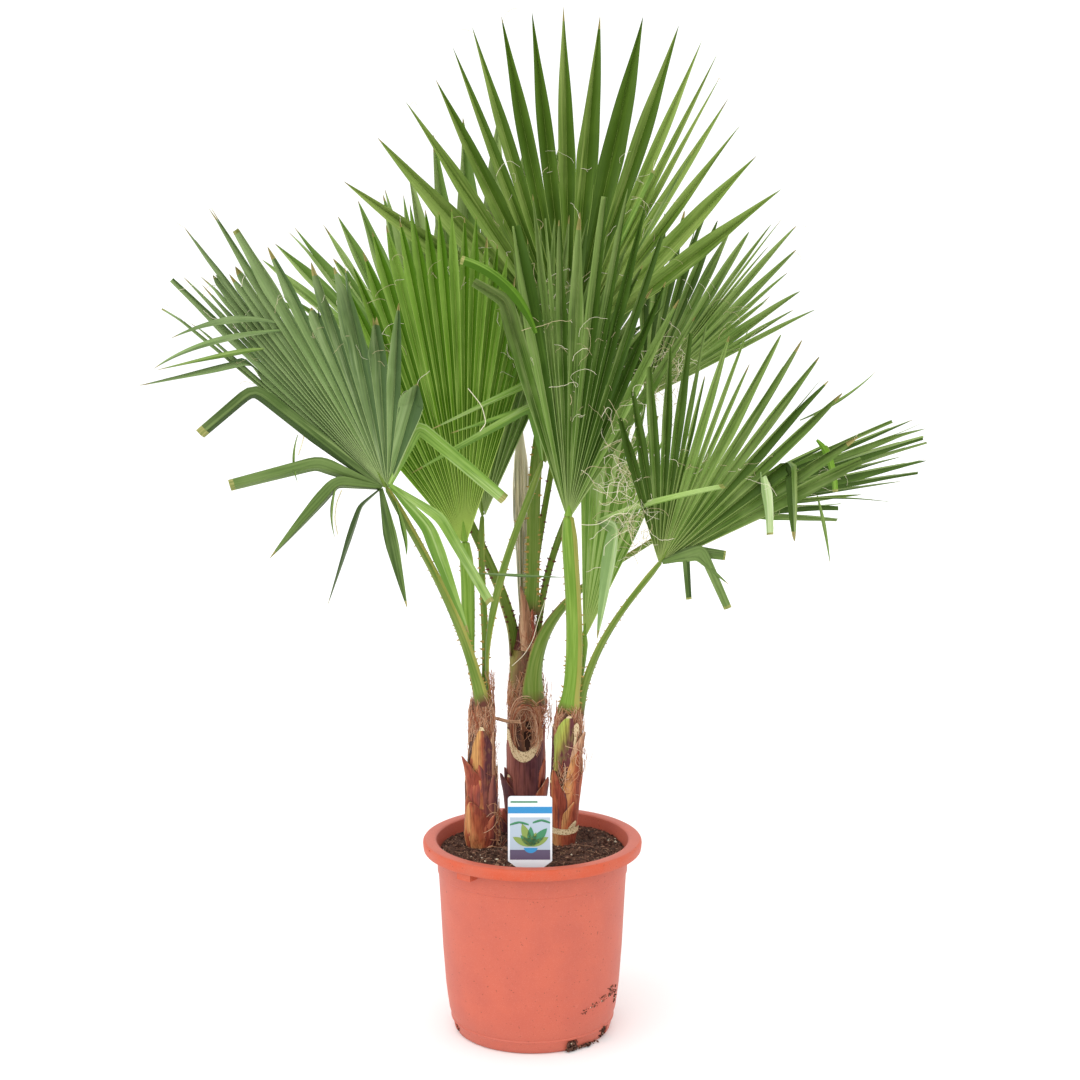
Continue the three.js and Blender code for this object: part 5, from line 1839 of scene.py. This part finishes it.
@dataclass
class NurseryPot:
    """A moulded round pot with a rolled rim, a step under the rim, a raised foot line and drain slots."""

    foot: float = 120.8
    wall: float = 4.0
    floor: float = 5.0
    rim_top: float = 304.0
    rim_low: float = 286.5
    sides: int = 240
    slots: tuple[float, ...] = (19, 61, 119, 161, 199, 299, 335)
    slot_half: float = 7.0
    slot_high: float = 17.0
    slot_deep: float = 12.0
    lug_radius: float = 156.0
    lug_height: float = 281.5
    lug_wide: float = 9.0  # half its width
    lug_tall: float = 5.5  # half its height

    # height and radius of the outside up to the rim, and of the rim off its top and its low edge
    BODY = ((0, 119.0), (0.8, 120.4), (2.5, 122), (9, 123.9), (16.9, 125.7), (17.2, 125.8), (19, 127.6),
            (20.2, 127.9), (21.2, 127.2), (22, 126.7), (34, 130.4), (54, 133.2), (74, 135.6), (132, 139.9),
            (204, 143.4), (251.5, 145.9), (252.6, 146.0), (253.6, 147.3), (255, 147.5), (284, 148))
    NECK = ((-10, 149.6), (-7.6, 151.5), (-6, 155), (-5.2, 164.6))
    LIP_LOW = ((2.4, 164.4), (0.6, 165.2), (0, 166.4), (0.4, 167.8), (1.8, 168.8), (5, 169.4))
    LIP_TOP = ((-6, 170), (-3.4, 169.6), (-1.6, 168.4), (-0.4, 166.2), (0, 163.5), (0, 153), (-0.6, 150.6),
               (-1.8, 149.2), (-5, 148.2))
    SLOT_ROWS = (2, 11)  # rows of the profile that a slot cuts back
    LIP_ROWS = (28, 34)  # rows that take the rim's finish
    LUG = (227, 236)  # bearings of the lug's ends

    def profile(self) -> Array:
        """Follows the pot's section from the middle of its underside, over the rim, to the floor inside.

        Returns:
            Rows of height and radius.
        """
        rim = [(at + z, r) for at, rows in ((self.rim_top, self.NECK), (self.rim_low, self.LIP_LOW),
                                            (self.rim_top, self.LIP_TOP)) for z, r in rows]
        inner = [(z, r - self.wall) for z, r in reversed(self.BODY) if 30 < z < 285 and not 250 < z < 257]
        floor = [(14, 121), (9, 118), (self.floor, 114), (self.floor, 60), (self.floor, 0.5)]
        return np.array([(0, 0.5), (0, 60), *self.BODY, *rim, *inner, *floor])

    def build(self) -> None:
        """Turns the pot and stands it in for the node."""
        profile = self.profile()
        z, r = profile[:, :1], profile[:, 1:]
        turn = np.linspace(0, ROUND, self.sides, endpoint=False)[None]
        off = np.min([np.abs((np.degrees(turn) - at + 180) % 360 - 180) for at in self.slots], 0)
        row = np.arange(len(profile))[:, None]
        cut = (np.radians(off) * self.foot < self.slot_half) & (z <= self.slot_high + 0.01)
        cut = cut & (row >= self.SLOT_ROWS[0]) & (row <= self.SLOT_ROWS[1])
        r = np.where(cut, np.minimum(r, self.foot - self.slot_deep), r)
        lip = (row[:-1] >= self.LIP_ROWS[0]) & (row[:-1] <= self.LIP_ROWS[1])
        inside = cut[:-1] & np.roll(cut, -1, 1)[:-1] & cut[1:]
        heap = MeshHeap()
        heap.grid(around(r, turn, z), np.where(inside, 2, np.where(lip, 1, 0)), wrap=True)
        lug = around(self.lug_radius, np.radians(np.linspace(*self.LUG, 8)), self.lug_height)
        square = np.array([(1, -1), (1, 1), (-1, 1), (-1, -1)], float)
        heap.sweep(lug, square, self.lug_wide, self.lug_tall, unit(lug[0] * (1, 1, 0)), 1)
        settle(heap.build("nursery_pot", [
            MouldedPolypropylene("moulded_polypropylene_terracotta", "#c4604a"),
            MouldedPolypropylene("moulded_polypropylene_rim", "#c5502f", cloud="#c05a40"),
            Finish("slot_shadow_soil", "#1d110c", 0.95)], crease=30), "pot_plastic", "pot")


@dataclass
class PottingSoil:
    """The soil: a crumbled top, loose crumbs and fibres, and a little spilt on the rim and round the foot."""

    level: float = 284.0
    crown: float = 4.0
    bump: float = 3.2
    edge: float = 142.6
    rings: int = 70
    sides: int = 200
    crumbs: int = 5200
    strands: int = 170
    strand_edge: float = 140.0
    strand_lift: float = 1.9
    heap: MeshHeap = field(default_factory=MeshHeap)

    # height and radius below the top, 0.4 mm and more inside the pot
    BELOW = ((276, 142.6), (190, 137.6), (100, 132), (40, 126), (17, 117), (6.5, 108), (6.5, 0.5))
    # where soil sticks to the pot: compass, height, spread, half height and count
    SPILLS = ((299, 5, 4.5, 9, 260), (299, 13, 3, 4, 40), (330, 12, 7, 9, 170), (313, 2.5, 13, 2.5, 70),
              (306, 62, 4, 4, 14), (314, 68, 5, 4, 22), (323, 72, 5, 5, 32), (333, 78, 5, 8, 60),
              (341, 66, 4, 15, 60), (203, 12, 2.6, 6, 30))
    # crumbs on the rim: compass and count, and the radius and height of the rim's outer edge
    RIM_CRUMBS = ((200, 8), (340, 9))
    RIM_EDGE = (168, 301)
    TONES = (0.42, 0.86, 0.985)  # shares of crumbs that are dark, brown and tan at most
    SEED = 314
    CORNERS = np.array([(1, 0, 0), (-1, 0, 0), (0, 1, 0), (0, -1, 0), (0, 0, 1), (0, 0, -1)], float)
    FACES = np.array([(0, 2, 4), (2, 1, 4), (1, 3, 4), (3, 0, 4), (2, 0, 5), (1, 2, 5), (3, 1, 5), (0, 3, 5)])

    def top(self, r: Number, angle: Number) -> Number:
        """Finds the soil's height as in the part's source.

        Args:
            r: distance from the pot's axis.
            angle: bearing in radians.

        Returns:
            The height there.
        """
        wave = (np.sin(3 * angle + r / 23) + np.sin(5 * angle - r / 17) * 0.7
                + np.cos(r / 11 + 2 * angle) * 0.5)
        return (self.level + self.crown * (1 - (r / 140) ** 2)
                + self.bump * wave * np.minimum(1, (r + 20) / 60) * 0.6)

    def build(self) -> None:
        """Builds the soil and what lies on it, and stands it in for the node."""
        angle = np.linspace(0, ROUND, self.sides, endpoint=False)[None]
        r = np.linspace(0.5, self.edge, self.rings)[:, None]
        x, y = r * np.cos(angle), r * np.sin(angle)
        rough = (np.sin(x / 2.9 + 1.7 * np.sin(y / 4.3)) * np.sin(y / 3.1 + 1.9 * np.sin(x / 5.1))
                 + 0.6 * np.sin(x / 1.7 + y / 2.3) * np.sin(y / 1.9 - x / 3.3))
        rows = [around(r, angle, self.top(r, angle) + 1.3 * rough)]
        rows += [around(radius, angle, height) for height, radius in self.BELOW]
        self.heap.grid(np.concatenate(rows), wrap=True)
        look = Chance(self.SEED)
        for _ in range(self.crumbs):
            far, turn = self.edge * math.sqrt(look()) * 0.985, look(0, ROUND)
            size = look(0.7, 1.9) + (2.6 * look() if look() < 0.1 else 0)
            self._crumb(far, turn, self.top(far, turn) + size * 0.35, size, look)
        for compass, count in self.RIM_CRUMBS:
            for _ in range(count):
                turn = math.radians(compass + look(-4, 4))
                far, size = self.RIM_EDGE[0] + look(-2, 1.5), look(0.6, 1.4)
                self._crumb(far, turn, self.RIM_EDGE[1] + size * 0.3, size, look)
        self._spill(look)
        for _ in range(self.strands):
            self._strand(look)
        settle(self.heap.build("potting_soil", [
            PottingMix("peat_and_bark_mix", "#4d352a"), Finish("bark_crumb_dark", "#3a2219", 0.95),
            Finish("bark_crumb_brown", "#65463a", 0.9), Finish("bark_crumb_tan", "#8f6e58", 0.9),
            Finish("perlite_crumb", "#c9bda6", 0.9)]), "potting_soil", "soil")

    def _crumb(self, far: float, compass: float, z: float, size: float, look: Chance) -> None:
        """Adds one crumb: a squashed, uneven eight-sided grain.

        Args:
            far, compass, z: its distance off the pot's axis, its bearing in radians and its height.
            size: about half its size.
            look: the chance it takes.
        """
        turn = look(0, 6.28)
        shape = self.CORNERS * [look(0.7, 1.5), look(0.6, 1.1), look(0.45, 0.9)]
        shape = shape + 0.22 * np.array([look.direction() for _ in range(6)])
        c, s = math.cos(turn), math.sin(turn)
        spin = np.array([(c, s, 0), (-s, c, 0), (0, 0, 1)])
        tone = look()
        finish = 1 + sum(tone >= share for share in self.TONES)
        self.heap.add(around(far, compass, z) + (shape * size) @ spin, self.FACES, finish)

    def _spill(self, look: Chance) -> None:
        """Adds soil that sticks in the slots, round the foot and on the wall, mostly at the right front.

        Args:
            look: the chance it takes.
        """
        heights, radii = zip(*NurseryPot.BODY)
        for compass, height, spread, tall, count in self.SPILLS:
            for _ in range(count):
                turn = math.radians(compass + look(-1, 1) * look() * spread)
                z = max(2.4, height + look(-1, 1) * tall)
                size = look(0.8, 3.0) if height < 10 else look(0.5, 1.7)
                far = np.interp(z, heights, radii) + size * 0.3 + (5 * look() ** 2 if height < 6 else 0)
                self._crumb(far, turn, z, size, look)

    def _strand(self, look: Chance) -> None:
        """Lays one root or bark strand on the soil.

        Args:
            look: the chance it takes.
        """
        edge = self.strand_edge
        far, turn = (edge - 2) * math.sqrt(look()), look(0, 6.28)
        aim, bend, step = look(0, 6.28), look(-0.25, 0.25), look(0.8, 2.6)
        x, y, path = far * math.cos(turn), far * math.sin(turn), []
        for _ in range(10):
            height = self.top(min(math.hypot(x, y), edge), math.atan2(y, x))
            path.append((x, y, height + self.strand_lift))
            x, y, aim = x + step * math.cos(aim), y + step * math.sin(aim), aim + bend
            if math.hypot(x, y) > edge:
                break
        if len(path) > 3:
            thick = look(0.2, 0.55)
            self.heap.strand(np.array(path), thick, UP + 0.1, 3 if look() < 0.5 else 2, sides=4)


def box(left: float, low: float, right: float, high: float) -> Array:
    """Returns the corners of a printed rectangle."""
    return np.array([(left, low), (right, low), (right, high), (left, high)], float)


@dataclass
class PlantCard:
    """A plastic plant card on a pointed foot, printed with plain bands and leaf shapes and no words."""

    width: float = 66.0
    top: float = 404.0
    shoulder: float = 306.0
    foot: float = 262.0
    thick: float = 1.6
    x: float = -3.0
    y: float = -127.5
    lean: float = 4.0
    corner: float = 5.0
    heap: MeshHeap = field(default_factory=MeshHeap)

    # left, low, right, high, height of the ink and finish of the printed rectangles
    BANDS = ((-32.8, 72, 32.8, 82, 0.12, 1), (-29, 88, 11, 90.5, 0.12, 2), (-30, 2, 30, 66, 0.1, 3),
             (-30, 2, 30, 17, 0.14, 4))
    BOWL = ((1, 23), 11, 196, 344)  # middle, radius and turn of the printed bowl
    LEAF_ROOT = (1, 22)
    RIDGES = ((-30, -2, 56), (4, 30, 59))  # left, right and height of the printed ridges

    def _stand(self, flat: Array, depth: float) -> Array:
        """Stands flat shapes up in the card's plane.

        Args:
            flat: points of across and height above the shoulder.
            depth: how far in front of the card's middle they lie.

        Returns:
            The points in the part's frame.
        """
        tilt = math.radians(self.lean)
        back = flat[:, 1] * math.sin(tilt) - depth * math.cos(tilt)
        rise = flat[:, 1] * math.cos(tilt) + depth * math.sin(tilt)
        return np.stack([self.x + flat[:, 0], self.y + back, self.shoulder + rise], -1)

    def outline(self) -> Array:
        """Draws the card's outline, with rounded top corners.

        Returns:
            Points of across and height above the shoulder.
        """
        w, h, low = self.width / 2, self.top - self.shoulder, self.foot - self.shoulder
        turn = np.linspace(0, math.pi / 2, 7)
        right = np.stack([w - self.corner + self.corner * np.cos(turn),
                          h - self.corner + self.corner * np.sin(turn)], -1)
        foot = np.array([(-w, 0), (-9, -18), (-4, low), (4, low), (9, -18), (w, 0)], float)
        return np.concatenate([foot, right, right[::-1] * (-1, 1)])

    def _plate(self, flat: Array, low: float, high: float, finish: int) -> None:
        """Adds a flat outline as a thin plate.

        Args:
            flat: the outline.
            low, high: depths of its back and its front.
            finish: index of its finish.
        """
        n = len(flat)
        self.heap.grid(np.stack([self._stand(flat, low), self._stand(flat, high)]), finish, wrap=True)
        whole = np.concatenate([flat, flat.mean(0, keepdims=True)])
        faces = np.stack([np.arange(n), (np.arange(n) + 1) % n, np.full(n, n)], -1)
        self.heap.add(self._stand(whole, high), faces, finish)
        self.heap.add(self._stand(whole, low), faces[:, ::-1], finish)

    def _print(self, flat: Array, lift: float, finish: int) -> None:
        """Prints a shape on the card's front, as high as its ink lies."""
        self._plate(flat, self.thick / 2, self.thick / 2 + lift, finish)

    def _leaf(self, root: Array, angle: float, length: float, finish: int) -> None:
        """Prints one leaf shape, a little proud of the bands.

        Args:
            root: where it starts.
            angle, length: which way it points, in degrees, and how long it is.
            finish: index of its ink.
        """
        t = shares(9)
        half = np.sin(t * math.pi) ** 0.8 * length * 0.17
        way = np.array([math.cos(math.radians(angle)), math.sin(math.radians(angle))])
        spine, side = root + way * (t * length)[:, None], np.array([-way[1], way[0]]) * half[:, None]
        self._plate(np.concatenate([spine - side, (spine + side)[-2:0:-1]]), 0.9, 1.16, finish)

    def build(self) -> None:
        """Builds the card with its print and stands it in for the node."""
        self._plate(self.outline(), -self.thick / 2, self.thick / 2, 0)
        for *sides, lift, ink in self.BANDS:
            self._print(box(*sides), lift, ink)
        middle, radius, *turn = self.BOWL
        turn = np.radians(np.linspace(*turn, 15))
        self._print(np.array(middle) + radius * np.stack([np.cos(turn), np.sin(turn)], -1), 0.2, 1)
        for k, angle in enumerate(np.linspace(28, 152, 7)):
            self._leaf(np.array(self.LEAF_ROOT), angle, 30 + 8 * math.sin(k * 2.1), 2 if k % 2 else 5)
        for left, right, low in self.RIDGES:
            t = shares(12)
            ridge = np.stack([mix(left, right, t), low + 4 * np.sin(t * math.pi)], -1)
            self._print(np.concatenate([ridge, ridge[::-1] - (0, 2.4)]), 0.24, 2)
        settle(self.heap.build("plant_card_print", [
            PrintedCard("polystyrene_card_white", "#dde2e7"), PrintedCard("card_ink_blue", "#2f86bd"),
            PrintedCard("card_ink_green", "#3c8058"), PrintedCard("card_ink_pale", "#a9b7c4"),
            PrintedCard("card_ink_plum", "#574a64"), PrintedCard("card_ink_lime", "#7f9448")], crease=30),
            "card_plastic", "plant_card")


@dataclass
class SnappedStub:
    """A snapped stalk stub that sticks out between two stems."""

    points: tuple[Point, ...] = ((-66, 50, 483), (-51, 50, 479), (-38, 52, 472), (-20, 60, 472))
    splinters: int = 4
    seed: int = 21

    def build(self) -> None:
        """Builds the stub as a flat dry splinter with split ends."""
        heap, look = MeshHeap(), Chance(self.seed)
        taper = np.interp(shares(16), (0, 0.12, 1), (0.25, 1, 0.8))
        for k in range(self.splinters):
            path = bezier(self.points, np.linspace(0.06 * k, 1, 16)) + np.array([0, 0.7 * k, 0.9 * (k - 1.5)])
            heap.sweep(path, ring(6), taper * look(1.0, 1.9), taper, (0, 0.2, 1), k % 2)
        settle(heap.build("snapped_stub", [SKINS[Skin.CORE], SKINS[Skin.TAN]]), "stem_husk")


@dataclass
class Studio:
    """Pale floor, soft light and the photograph's camera."""

    eye: Point = (11.8, -3000.0, 1229.0)
    dip: float = 8.69  # degrees that the camera looks down
    lens: float = 66.6
    sensor: float = 36.0
    sun: float = 0.9
    sun_width: float = 70.0
    sun_turn: Point = (46.0, 0.0, -34.0)
    sky: float = 1.2
    floor_half: float = 9000.0
    floor_gap: float = 0.4

    def build(self) -> None:
        """Sets floor, lights, world and camera."""
        self._floor()
        self._lights()
        self._camera()

    def _floor(self) -> None:
        """Lays a wide plain floor."""
        heap, far, z = MeshHeap(), self.floor_half, -self.floor_gap
        heap.grid(np.array([[(-far, -far, z), (far, -far, z)], [(-far, far, z), (far, far, z)]]))
        heap.build("studio_floor", [Finish("matt_studio_paper", "#fbfbfb", 0.9)])

    def _lights(self) -> None:
        """Adds an even sky and a broad key light."""
        scene = bpy.context.scene
        world = scene.world = bpy.data.worlds.new("studio")
        world.use_nodes = True
        back = world.node_tree.nodes["Background"]
        back.inputs["Color"].default_value = linear(WHITE)
        back.inputs["Strength"].default_value = self.sky
        key = bpy.data.lights.new("key", "SUN")
        key.energy, key.angle = self.sun, math.radians(self.sun_width)
        lamp = bpy.data.objects.new("key", key)
        lamp.rotation_euler = [math.radians(turn) for turn in self.sun_turn]
        scene.collection.objects.link(lamp)
        scene.view_settings.view_transform = "Standard"

    def _camera(self) -> None:
        """Places the camera where the photograph was taken from."""
        scene = bpy.context.scene
        lens = bpy.data.cameras.new("photograph")
        lens.lens, lens.sensor_width, lens.clip_end = self.lens, self.sensor, 100.0
        camera = bpy.data.objects.new("photograph", lens)
        camera.location = [c * METRE for c in self.eye]
        camera.rotation_euler = (math.radians(90 - self.dip), 0, 0)
        scene.collection.objects.link(camera)
        scene.camera = camera


def main() -> None:
    """Builds the studio, the pot with its soil and card, and then the plant from its stems to its threads."""
    logging.basicConfig(level=logging.INFO, format="%(name)s %(message)s")
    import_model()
    for assembly in (Studio(), NurseryPot(), PottingSoil(), PlantCard()):
        assembly.build()
    for stem in STEM_DRESS:
        stem.build()
        stem.dress()
    WitheredSpear().build()
    SnappedStub().build()
    fans = [Fan(frond) for frond in FRONDS]
    for fan in fans:
        for assembly in (FanBlade(fan), Petiole(fan.frond)):
            assembly.build()
            assembly.dress()
    loose = LooseLeaflets()
    loose.build()
    loose.dress()
    threads = LeafThreads()
    threads.build(fans)
    threads.dress()


if __name__ == "__main__":
    main()
